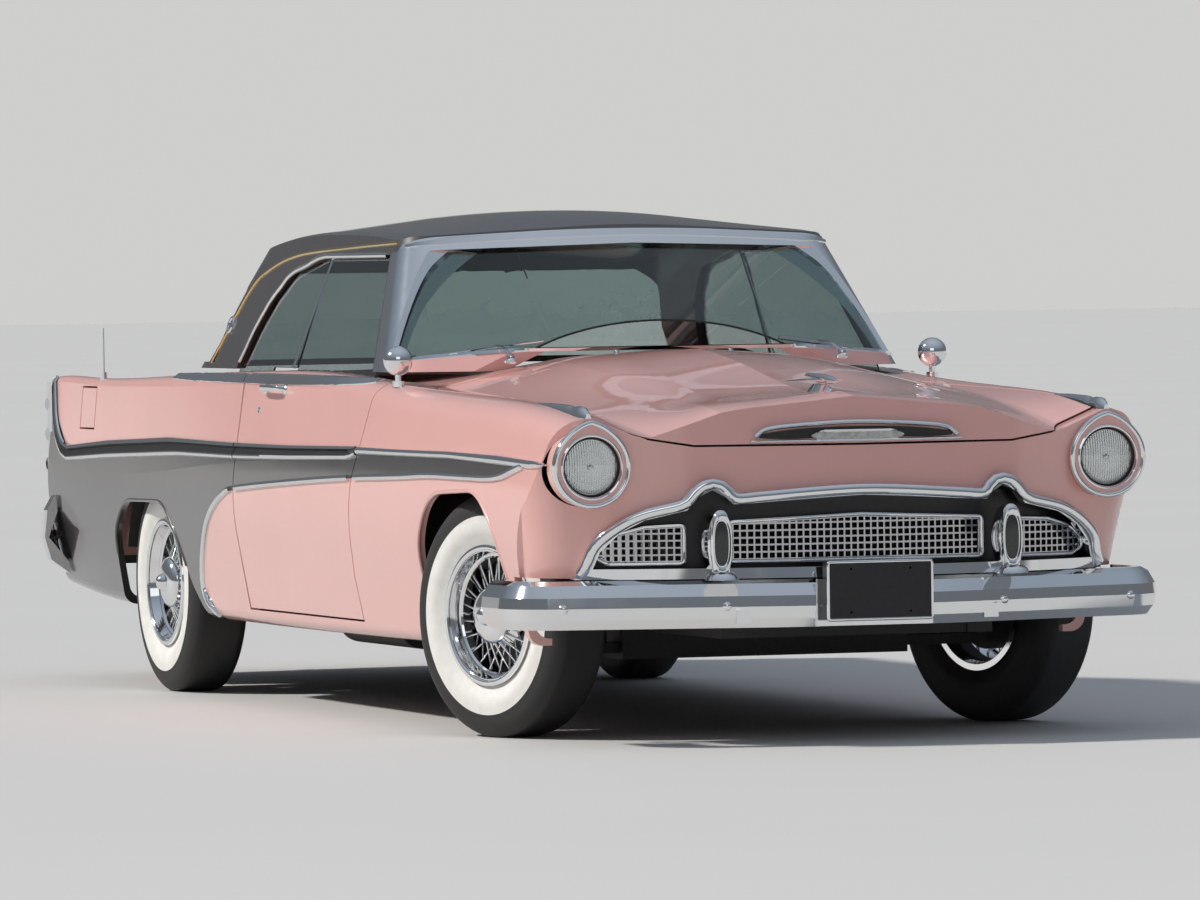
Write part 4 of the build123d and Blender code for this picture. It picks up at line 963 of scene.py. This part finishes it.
# bright caps along the tops of the front fenders
crestTree = nodeTree("front_fender_left", "nose_panel")
fenderCap = {"start": -2.575, "end": -2.170, "x0": 0.783, "x1": 0.792}
capBar = ((-1, -0.012), (-0.95, 0.15), (-0.55, 0.85), (0, 1), (0.55, 0.85), (0.95, 0.15), (1, -0.012),
          (0, -0.03))
for label, side in sides:
    points = []
    widths = []
    heights = []
    for index in range(22):
        share = index / 21
        y = fenderCap["start"] + (fenderCap["end"] - fenderCap["start"]) * share
        x = fenderCap["x0"] + (fenderCap["x1"] - fenderCap["x0"]) * share
        found = fromAbove(crestTree, x, y, (0.004, 0.004, 0))
        z = found[0].z if found else points[-1].z
        points.append(Vector((x * side, y, z - 0.002)))
        blunt = min(1, 0.45 + index * 0.3)
        widths.append((0.020 - 0.014 * share) * blunt)
        heights.append((0.034 - 0.030 * share) * blunt)
    frames = railFrames(points, upward)
    sweepBar(f"fenderCap_{label}", frames, capBar, widths, heights, angle=50)

# hood: double lip round a dark slot with a plain shield, and the ornament on the crown
hoodTrim = {
    "upper": ((-0.305, 0.864), (-0.285, 0.880), (-0.245, 0.890), (-0.12, 0.899), (0, 0.903), (0.12, 0.899),
              (0.245, 0.890), (0.285, 0.880), (0.305, 0.864)),
    "lower": ((-0.318, 0.851), (-0.16, 0.8505), (0, 0.850), (0.16, 0.8505), (0.318, 0.851)),
    "slot": ((-0.292, 0.866), (-0.12, 0.873), (0, 0.875), (0.12, 0.873), (0.292, 0.866)),
}
slotBar = ((-1, -0.003), (-1, 0.0015), (1, 0.0015), (1, -0.003))
shieldBar = (
    (-1, -0.004), (-1, 0.006), (-0.78, 0.011), (-0.62, 0.0085), (0.62, 0.0085), (0.78, 0.011), (1, 0.006),
    (1, -0.004),
)
hoodTree = nodeTree("hood")


def hoodLine(rows, lift, step=0.02):
    line = smoothLine([Vector((x, 0, z)) for x, z in rows], step)
    spots = [fromAhead(hoodTree, point.x, max(point.z, 0.8485), -2.61) for point in line]
    return [Vector((p.x, spot.y - lift, p.z)) for p, spot in zip(line, spots)]


layTube("hoodLip_upper", hoodLine(hoodTrim["upper"], 0.004), forward, 0.0075, 0.013, body="hood")
layTube("hoodLip_lower", hoodLine(hoodTrim["lower"], 0.002), forward, 0.0055, 0.011, body="hood")
points = hoodLine(hoodTrim["slot"], 0.001)
widths = [0.013 * (1 - (abs(p.x) / 0.31) ** 4) + 0.002 for p in points]
look = {"body": "hood", "materials": (blackPaint,), "slot": "grille_black"}
sweepBar("hoodSlot", railFrames(points, forward), slotBar, widths=widths, **look)
points = hoodLine(((-0.138, 0.865), (0, 0.865), (0.138, 0.865)), 0.004, 0.0138)
widths = [0.0165 * min(1, 0.15 + (0.139 - abs(p.x)) / 0.034) for p in points]
look = {"body": "hood", "materials": (chrome, castWhite), "dark": (-0.62, 0.62)}
sweepBar("hoodShield", railFrames(points, forward), shieldBar, widths=widths, **look)

# ornament: a plain dart on a foot with swept wings
ornament = {
    "y": -2.36,
    "lift": 0.036,
    "dart": ((0.0, -0.115), (0.004, -0.112), (0.008, -0.095), (0.012, -0.06), (0.013, -0.02), (0.0125, 0.03),
             (0.011, 0.08), (0.009, 0.12), (0.0, 0.125)),
    "wing": ((-1, -0.12), (-0.6, 0.5), (0, 1), (0.6, 0.5), (1, -0.12), (0, -0.5)),
    "foot": ((-1, 0), (-0.7, 0.7), (0, 1), (0.7, 0.7), (1, 0), (0, -0.1)),
}
middle, level = ornament["y"], fromAbove(hoodTree, 0.002, ornament["y"])[0].z + ornament["lift"]
turnedPiece("ornamentDart", (0, middle, level), (0, 1, 0.06), ornament["dart"], segments=20, body="hood")
for label, side in sides:
    points, widths, heights = [], [], []
    for share in [index / 8 for index in range(9)]:
        x, y = side * (0.006 + 0.080 * share), middle + 0.02 + 0.05 * share ** 1.3
        points.append(Vector((x, y, level - 0.002 - 0.006 * share)))
        widths.append(0.034 * (1 - 0.68 * share))
        heights.append(0.007 * (1 - 0.6 * share))
    frames = railFrames(points, upward)
    sweepBar(f"ornamentWing_{label}", frames, ornament["wing"], widths, heights, body="hood", angle=60)
foot = [Vector((0, middle - 0.06 + 0.017 * index, 0)) for index in range(11)]
for point in foot:
    point.z = fromAbove(hoodTree, 0.002, point.y)[0].z - 0.002
bulge = [math.sqrt(max(0.02, 1 - ((index - 5) / 5.2) ** 2)) for index in range(11)]
widths, heights = [0.022 * b for b in bulge], [0.028 * b for b in bulge]
sweepBar("ornamentFoot", railFrames(foot, upward), ornament["foot"], widths, heights, body="hood", angle=60)

# front bumper: round-headed bolts and the plate's frame
bumperTrim = {
    "bolts": ((0.418, 0.394), (0.858, 0.391)),
    "bolt": ((0.0, 0.0075), (0.005, 0.007), (0.0095, 0.0045), (0.0125, 0.001), (0.0125, -0.004),
             (0.0, -0.004)),
    "plate": (0.155, 0.433, 0.080),
}
for label, side in sides:
    for number, (x, z) in enumerate(bumperTrim["bolts"]):
        spot = fromAhead(barTree, x * side, z)
        run = fromAhead(barTree, (x + 0.01) * side, z) - fromAhead(barTree, (x - 0.01) * side, z)
        out = upward.cross(run.normalized())
        out = out if out.y < 0 else -out
        turnedPiece(f"bumperBolt_{label}_{number + 1}", spot, out, bumperTrim["bolt"], segments=24)
halfWide, plateZ, halfHigh = bumperTrim["plate"]
corners = [(halfWide, plateZ - halfHigh), (halfWide, plateZ + halfHigh), (-halfWide, plateZ + halfHigh),
           (-halfWide, plateZ - halfHigh)]
places = [(Vector((x, -2.794, z)), 0.006) for x, z in corners]
first = (places[0][0] + places[-1][0]) / 2
line = roundedLine([(first, 0)] + places + [(first, 0)], 0.006)[:-1]
sweepLoop("plateFrame", line, forward, ringProfile(0.0055, 0.0058))
print("hood and bumper trim laid")

# greenhouse: header, window edges, drip rail and the chrome at the glass's foot
roofTree = nodeTree("roof", "windshield_frame", "rear_deck")
quarterTree = nodeTree("quarter_windows")
glassTree = nodeTree("windshield", "windshield_frame", "cowl")
cowlTree = nodeTree("cowl", "hood")
greenTrim = {
    "header": ((0.674, 1.416), (0.60, 1.428), (0.335, 1.4425), (0, 1.4515)),
    "foot": ((0.806, 1.0705), (0.76, 1.077), (0.68, 1.087), (0.442, 1.103), (0.2, 1.110), (0, 1.112)),
    "drip": ((0.787, 1.041, 1.061), (0.713, 0.859, 1.283), (0.691, 0.712, 1.351), (0.679, 0.431, 1.397),
             (0.680, -0.085, 1.416), (0.681, -0.564, 1.428)),
    "belt": ((-0.880, 1.036), (-0.6, 1.040), (0.0, 1.043), (0.6, 1.042), (1.0, 1.036), (1.24, 1.030)),
    "beltHeight": 1.016,
    "divider": ((0.152, 1.09), (0.114, 1.30)),
    "discPlace": (0.946, 1.179),
    "disc": ((0.0, 0.006), (0.012, 0.0055), (0.016, 0.004), (0.019, 0.004), (0.021, 0.0065), (0.026, 0.0075),
             (0.030, 0.004), (0.030, -0.003), (0.0, -0.003)),
}
flatBar = ((-1, -0.003), (-1, 0.002), (-0.6, 0.006), (0.6, 0.006), (1, 0.002), (1, -0.003))


def mirrorRows(rows):
    return [Vector((x, 0, z)) for x, z in rows] + [Vector((-x, 0, z)) for x, z in reversed(rows[:-1])]


def roofSpot(side, y, z):
    found = fromSide(roofTree, side, y, z)
    return found[0] if found and abs(found[0].x) > 0.55 and found[0].x * side > 0 else None


def openingEdge(side):
    # the side window's rear and upper edge, found on the roof's panel
    edge = []
    for index in range(16):
        z, y = 1.065 + 0.020 * index, 0.25
        while y < 1.2 and not roofSpot(side, y, z):
            y += 0.004
        edge.append(roofSpot(side, y, z))
    top = edge[-1].y
    count = int((top + 0.50) / 0.06)
    for index in range(1, count + 1):
        y, z = top - (top + 0.50) * index / count, 1.34
        while z < 1.43 and not roofSpot(side, y, z):
            z += 0.002
        edge.append(roofSpot(side, y, z))
    return [spot for spot in edge if spot]


def glassHit(x, z):
    return castOn(glassTree, (x, -3, z), (0, 1, 0), (0.004, 0, 0))


for key, half in (("header", 0.0125), ("foot", 0.006)):
    found = [glassHit(p.x, p.z) for p in smoothLine(mirrorRows(greenTrim[key]), 0.03)]
    frames = railFrames(*zip(*[pair for pair in found if pair]))
    last = len(frames) - 1
    widths = [half * min(1, 0.25 + min(index, last - index) * 0.25) for index in range(last + 1)]
    sweepBar(f"glassEdge_{key}", frames, flatBar, widths=widths)
for label, side in sides:
    tilted = Vector((side, 0, 0.3))
    opening = smoothLine(openingEdge(side), 0.025)
    dripLine = smoothLine([Vector((x * side, y, z)) for x, y, z in greenTrim["drip"]], 0.03)
    for key, radius, material, line in (("drip", 0.0055, gold, dripLine),
                                        ("window", 0.007, chrome, opening)):
        spots = []
        for point in line:
            found = fromSide(roofTree, side, point.y, point.z + 0.004, (0, 0.004, 0.004))
            near = found and abs(found[0].x - point.x) < 0.03
            spots.append(Vector((found[0].x if near else point.x, point.y, point.z)))
        layTube(f"{key}Rail_{label}", spots, tilted, radius * 1.3, radius, materials=(material,))
    places = [point.y for point in spreadLine(greenTrim["belt"], 0.04)]
    beltRuns = (("body", 0.372, 1.24, "beltRear"), (f"door_{label}", -0.880, 0.364, "beltDoor"))
    for body, start, end, name in beltRuns:
        run = [start] + [y for y in places if start + 0.01 < y < end - 0.01] + [end]
        frames = railFrames(*zip(*[onFlank(side, y, greenTrim["beltHeight"]) for y in run]))
        sweepBar(f"{name}_{label}", frames, flatBar, widths=[0.018] * len(frames), body=body)
    low, high = (
        Vector((fromSide(quarterTree, side, y + 0.02, z)[0].x, y, z)) for y, z in greenTrim["divider"]
    )
    edge = [low + (high - low) * (-0.2 + 0.2 * index) for index in range(9)]
    layTube(f"glassDivider_{label}", edge, tilted, 0.009, 0.005)
    spot, normal = fromSide(roofTree, side, *greenTrim["discPlace"], (0, 0.004, 0))
    turnedPiece(f"pillarDisc_{label}", spot, normal, greenTrim["disc"], segments=36)
print("greenhouse trimmed")

# wipers and washer jets
wiper = {
    "pivot": (0.524, -1.143, 1.074),
    "outer": Vector((0.640, 0, 1.092)),
    "inner": Vector((0.372, 0, 1.124)),
    "blade": ((-0.0022, -0.006), (-0.004, 0.002), (-0.0025, 0.006), (0.0025, 0.006), (0.004, 0.002),
              (0.0022, -0.006)),
    "knob": ((0.0, 0.020), (0.008, 0.019), (0.012, 0.013), (0.013, 0.004), (0.018, 0.0), (0.018, -0.006),
             (0.0, -0.006)),
    "jet": (0.180, -1.11, 1.080),
    "dome": ((0.0, 0.011), (0.005, 0.010), (0.008, 0.006), (0.009, 0.0), (0.009, -0.003), (0.0, -0.003)),
}
for label, side in sides:
    blade, outs = [], []
    for index in range(13):
        place = wiper["outer"] + (wiper["inner"] - wiper["outer"]) * (index / 12)
        missed = (Vector((place.x * side, -0.98, place.z)), Vector((0, -0.8, 0.6)))
        spot, normal = glassHit(place.x * side, place.z) or missed
        blade.append(spot + normal * 0.006)
        outs.append(normal)
    sweepBar(f"wiperBlade_{label}", railFrames(blade, outs), wiper["blade"], angle=50)
    x, y, z = wiper["pivot"]
    pivot = Vector((x * side, y, z))
    middle = blade[6] + outs[6] * 0.009
    arm = smoothLine([pivot + upward * 0.012, pivot.lerp(middle, 0.45) + upward * 0.018, middle], 0.02)
    layTube(f"wiperArm_{label}", arm, Vector((0, -0.5, 1)), 0.0045, 0.003)
    turnedPiece(f"wiperPivot_{label}", pivot, (0, -0.25, 1), wiper["knob"], segments=24)
    x, y, z = wiper["jet"]
    found = fromAbove(cowlTree, x * side, y)
    jet = found[0] if found else (x * side, y, z)
    turnedPiece(f"washerJet_{label}", jet, (0, -0.2, 1), wiper["dome"], segments=20)

# door handles and locks
handle = {
    "height": 0.985,
    "pull": ((-0.088, -0.002), (-0.083, 0.012), (-0.068, 0.026), (-0.03, 0.031), (0.03, 0.031),
             (0.085, 0.028), (0.108, 0.020), (0.116, 0.008), (0.118, -0.002)),
    "cap": ((0, 0.010), (0.5, 0.0095), (0.7, 0.006), (1, 0.003), (1, -0.003), (0, -0.003)),
    "lock": ((0.0, 0.001), (0.0035, 0.001), (0.0045, 0.004), (0.009, 0.004), (0.0105, 0.001),
             (0.0105, -0.003), (0.0, -0.003)),
    "capPlaces": (("handleFoot", -0.088, 0.016), ("handleButton", 0.122, 0.018)),
    "lockPlace": (0.160, 0.920),
}
for label, side in sides:
    body, points = f"door_{label}", []
    for y, lift in handle["pull"]:
        spot, normal = onFlank(side, y, handle["height"])
        points.append(spot + normal * lift)
    layTube(f"handlePull_{label}", smoothLine(points, 0.012), upward, 0.006, 0.010, 10, body=body)
    for name, y, radius in handle["capPlaces"]:
        cap = [(radius * share, lift) for share, lift in handle["cap"]]
        turnedPiece(f"{name}_{label}", *onFlank(side, y, handle["height"]), cap, segments=28, body=body)
    spot, normal = onFlank(side, *handle["lockPlace"])
    turnedPiece(f"doorLock_{label}", spot, normal, handle["lock"], segments=28, body=body)
print("handles and wipers laid")

# wheels: cap over the hub and a turned ring on the rim
wheelTrim = {
    "cap": ((0.0, 0.118), (0.012, 0.117), (0.021, 0.112), (0.026, 0.102), (0.030, 0.096), (0.052, 0.0935),
            (0.070, 0.087), (0.080, 0.077), (0.082, 0.070), (0.078, 0.066), (0.0, 0.066)),
    "ring": ((0.187, 0.089), (0.191, 0.093), (0.197, 0.094), (0.203, 0.0915), (0.2045, 0.087),
             (0.187, 0.087), (0.187, 0.089)),
    "step": ((0.166, 0.052), (0.170, 0.058), (0.177, 0.060), (0.179, 0.054), (0.172, 0.049), (0.166, 0.052)),
}
for corner, axis in wheelAxes.items():
    centre = wheelMiddle(f"tyre_{corner}")
    for key in ("cap", "ring", "step"):
        name, body = f"wheel{key.title()}_{corner}", f"wheel_{corner}"
        turnedPiece(name, centre, axis, wheelTrim[key], segments=72, body=body)

# tail lamps, trunk handle and rear bumper bolts
rearTrim = {
    "ring": ((0.0255, 0.004), (0.0275, 0.010), (0.031, 0.011), (0.0345, 0.007), (0.036, 0.0),
             (0.0255, 0.0), (0.0255, 0.004)),
    "bolts": ((0.36, 0.48), (0.74, 0.48)),
    "strip": {"start": -0.62, "step": 0.062, "level": 0.668, "half": 0.008},
    "lock": ((0.0, 0.010), (0.006, 0.010), (0.010, 0.013), (0.020, 0.012), (0.028, 0.006), (0.031, 0.0),
             (0.0, -0.003)),
    "lockHeight": 0.72,
}
rearBarTree = nodeTree("rear_bumper")
lidTree = nodeTree("trunk_lid")
for label, side in sides:
    for number, z in enumerate(tail["levels"]):
        place = (tail["x"] * side, tail["y"], z)
        turnedPiece(f"tailRing_{label}_{number + 1}", place, (0, 1, 0), rearTrim["ring"])
for label, side in sides:
    for number, (x, z) in enumerate(rearTrim["bolts"]):
        found = fromBehind(rearBarTree, x * side, z, (0.004, 0, 0))
        if found:
            turnedPiece(f"rearBolt_{label}_{number + 1}", *found, bumperTrim["bolt"], segments=24)
strip, lidRows = rearTrim["strip"], []
for index in range(21):
    found = fromBehind(lidTree, strip["start"] + strip["step"] * index, strip["level"], (0, 0, 0.004))
    if found:
        lidRows.append((Vector((found[0].x, found[0].y, strip["level"])), found[1]))
widths = [strip["half"]] * len(lidRows)
sweepBar("lidStrip", railFrames(*zip(*lidRows)), flatBar, widths=widths, body="trunk_lid")
spot, normal = fromBehind(lidTree, 0, rearTrim["lockHeight"], (0.002, 0, 0))
turnedPiece("lidLock", spot, normal, rearTrim["lock"], body="trunk_lid")
print("wheels and tail trimmed")

# driver's side: horn ring and boss, gauges and knobs
horn = {
    "lean": 25,
    "hub": (0.370, -0.500, 0.900),
    "lift": 0.016,
    "radius": 0.115,
    "boss": ((0.0, 0.048), (0.012, 0.047), (0.026, 0.040), (0.034, 0.030), (0.038, 0.020), (0.038, 0.012),
             (0.0, 0.012)),
}
lean, hub = math.radians(horn["lean"]), Vector(horn["hub"])
columnAxis = Vector((0, math.cos(lean), math.sin(lean)))
wheelX, wheelY = Vector((1, 0, 0)), columnAxis.cross(Vector((1, 0, 0)))
hornRing = [hub + columnAxis * horn["lift"] + (wheelX * math.cos(t) + wheelY * math.sin(t)) * horn["radius"]
            for t in [index * math.pi / 24 for index in range(48)]]
sweepLoop("hornRing", hornRing, columnAxis, ringProfile(0.0045), body="steering_wheel")
turnedPiece("hornBoss", hub, columnAxis, horn["boss"], body="steering_wheel")
gauge = {
    "rim": ((0.86, 0.004), (0.9, 0.012), (1, 0.011), (1.06, 0.0), (0.86, 0.0), (0.86, 0.004)),
    "dial": ((0, 0.005), (0.2, 0.004), (0.88, 0.004), (0.88, -0.002), (0, -0.002)),
    "places": (("speedGauge", 0.45, 0.062), ("fuelGauge", 0.29, 0.062), ("clockGauge", -0.12, 0.042)),
    "y": -0.905,
    "z": 0.915,
}
for name, x, radius in gauge["places"]:
    for key, look in (("rim", {}), ("dial", {"materials": (dialFace,), "slot": "plate_black"})):
        rows = [(radius * share, high) for share, high in gauge[key]]
        turnedPiece(f"{name}{key.title()}", (x, gauge["y"], gauge["z"]), (0, 1, 0), rows, **look)
knob = {
    "profile": ((0.0, 0.026), (0.009, 0.025), (0.011, 0.018), (0.007, 0.012), (0.006, 0.0),
                (0.010, -0.004), (0.0, -0.004)),
    "first": (-0.30, -0.912, 0.80),
    "step": 0.055,
}
x, y, z = knob["first"]
for index in range(6):
    place = (x + knob["step"] * index, y, z)
    turnedPiece(f"dashKnob_{index + 1}", place, (0, 1, 0), knob["profile"], segments=20)
print("cabin details set")

# bench seats: padded covers puffed up by cloth, with sewn channels and darker bolsters
benches = {
    "front": {"width": 1.27, "start": -0.435, "depth": 0.445, "top": 0.592, "back": 0.955},
    "rear": {"width": 1.15, "start": 0.425, "depth": 0.395, "top": 0.582, "back": 0.935},
}
cushion = {
    "thick": 0.14, "backThick": 0.115, "slope": -4.5, "lean": 18, "voxel": 0.014, "shrink": 0.010,
    "puff": 0.024, "channel": 0.075, "sink": 0.007, "seam": 0.006, "border": 0.14, "margin": 0.045,
}


def puffUp(piece, limit):
    # cloth under pressure, its movement capped
    rest = [vertex.co.copy() for vertex in piece.data.vertices]
    pick(piece)
    modifier = piece.modifiers.new("cloth", "CLOTH")
    modifier.settings.use_pressure = True
    modifier.settings.uniform_pressure_force = 4
    modifier.settings.effector_weights.gravity = 0
    for step in range(1, 21):
        bpy.context.scene.frame_set(step)
    bpy.ops.object.modifier_apply(modifier=modifier.name)
    bpy.context.scene.frame_set(1)
    for vertex, start in zip(piece.data.vertices, rest):
        move = vertex.co - start
        if move.length > limit:
            vertex.co = start + move.normalized() * limit


def makeCushion(name, centre, size, tilt, node=None):
    # crowned pad: remeshed block, cloth, one subdivision, then channels across the sitting face
    bpy.ops.mesh.primitive_cube_add(size=1, location=(0, 0, 0))
    piece = bpy.context.object
    piece.name = name
    piece.scale = [length - cushion["shrink"] * 2 for length in size]
    bpy.ops.object.transform_apply(location=False, rotation=False, scale=True)
    bpy.ops.object.mode_set(mode="EDIT")
    bpy.ops.mesh.select_all(action="SELECT")
    bpy.ops.mesh.bevel(offset=0.032, segments=4)
    bpy.ops.object.mode_set(mode="OBJECT")
    applyModifier(piece, "REMESH", mode="VOXEL", voxel_size=cushion["voxel"])
    puffUp(piece, cushion["puff"])
    applyModifier(piece, "SUBSURF", levels=1, render_levels=1)
    edge, reach, high = size[0] / 2 - cushion["border"], size[1] / 2 - cushion["margin"], size[2] * 0.2
    for vertex in piece.data.vertices:
        x, y, z = vertex.co
        if z < high or abs(y) > reach:
            continue
        line = x - round(x / cushion["channel"]) * cushion["channel"]
        for gap in (line, abs(x) - edge) if abs(x) < edge else (abs(x) - edge,):
            vertex.co.z -= cushion["sink"] * math.exp(-(gap / cushion["seam"]) ** 2)
    for face in piece.data.polygons:
        x, y, z = face.center
        face.material_index = 1 if abs(x) < edge and abs(y) < reach and z > high else 0
    piece.rotation_euler = (tilt, 0, 0)
    piece.location = centre
    finishPiece(piece, materials=(hide, insertCloth), slot="upholstery", angle=60)
    if node:
        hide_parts(node)


plinth = ((-0.17, -1), (-0.17, 0.94), (-0.155, 1), (0.155, 1), (0.17, 0.94), (0.17, -1))
for label, bench in benches.items():
    width, start, depth, top, back = (bench[key] for key in ("width", "start", "depth", "top", "back"))
    thick, slope, lean = cushion["thick"], math.radians(cushion["slope"]), math.radians(cushion["lean"])
    centre = (0, start + depth / 2, top - thick / 2 - 0.012)
    makeCushion(f"{label}Cushion", centre, (width, depth, thick), slope, f"{label}_seat")
    tall = (back - top + 0.07) / math.cos(lean)
    foot = Vector((0, start + depth + 0.045, top - 0.065))
    middle = foot + Vector((0, math.sin(lean), math.cos(lean))) * tall / 2
    makeCushion(f"{label}Backrest", middle, (width, tall, cushion["backThick"]), math.radians(90) - lean)
    low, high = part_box(f"{label}_seat")
    level, half = (low.z + top - thick) / 2 - 0.004, (top - thick - low.z) / 2
    for word, side in sides:
        line = [Vector((side * 0.40, start + 0.05 + 0.08 * index, level)) for index in range(7)]
        look = {"heights": [half] * 7, "materials": (underCoat,), "slot": "frame_steel"}
        sweepBar(f"{label}Plinth_{word}", railFrames(line, upward), plinth, **look)
print("seats made")
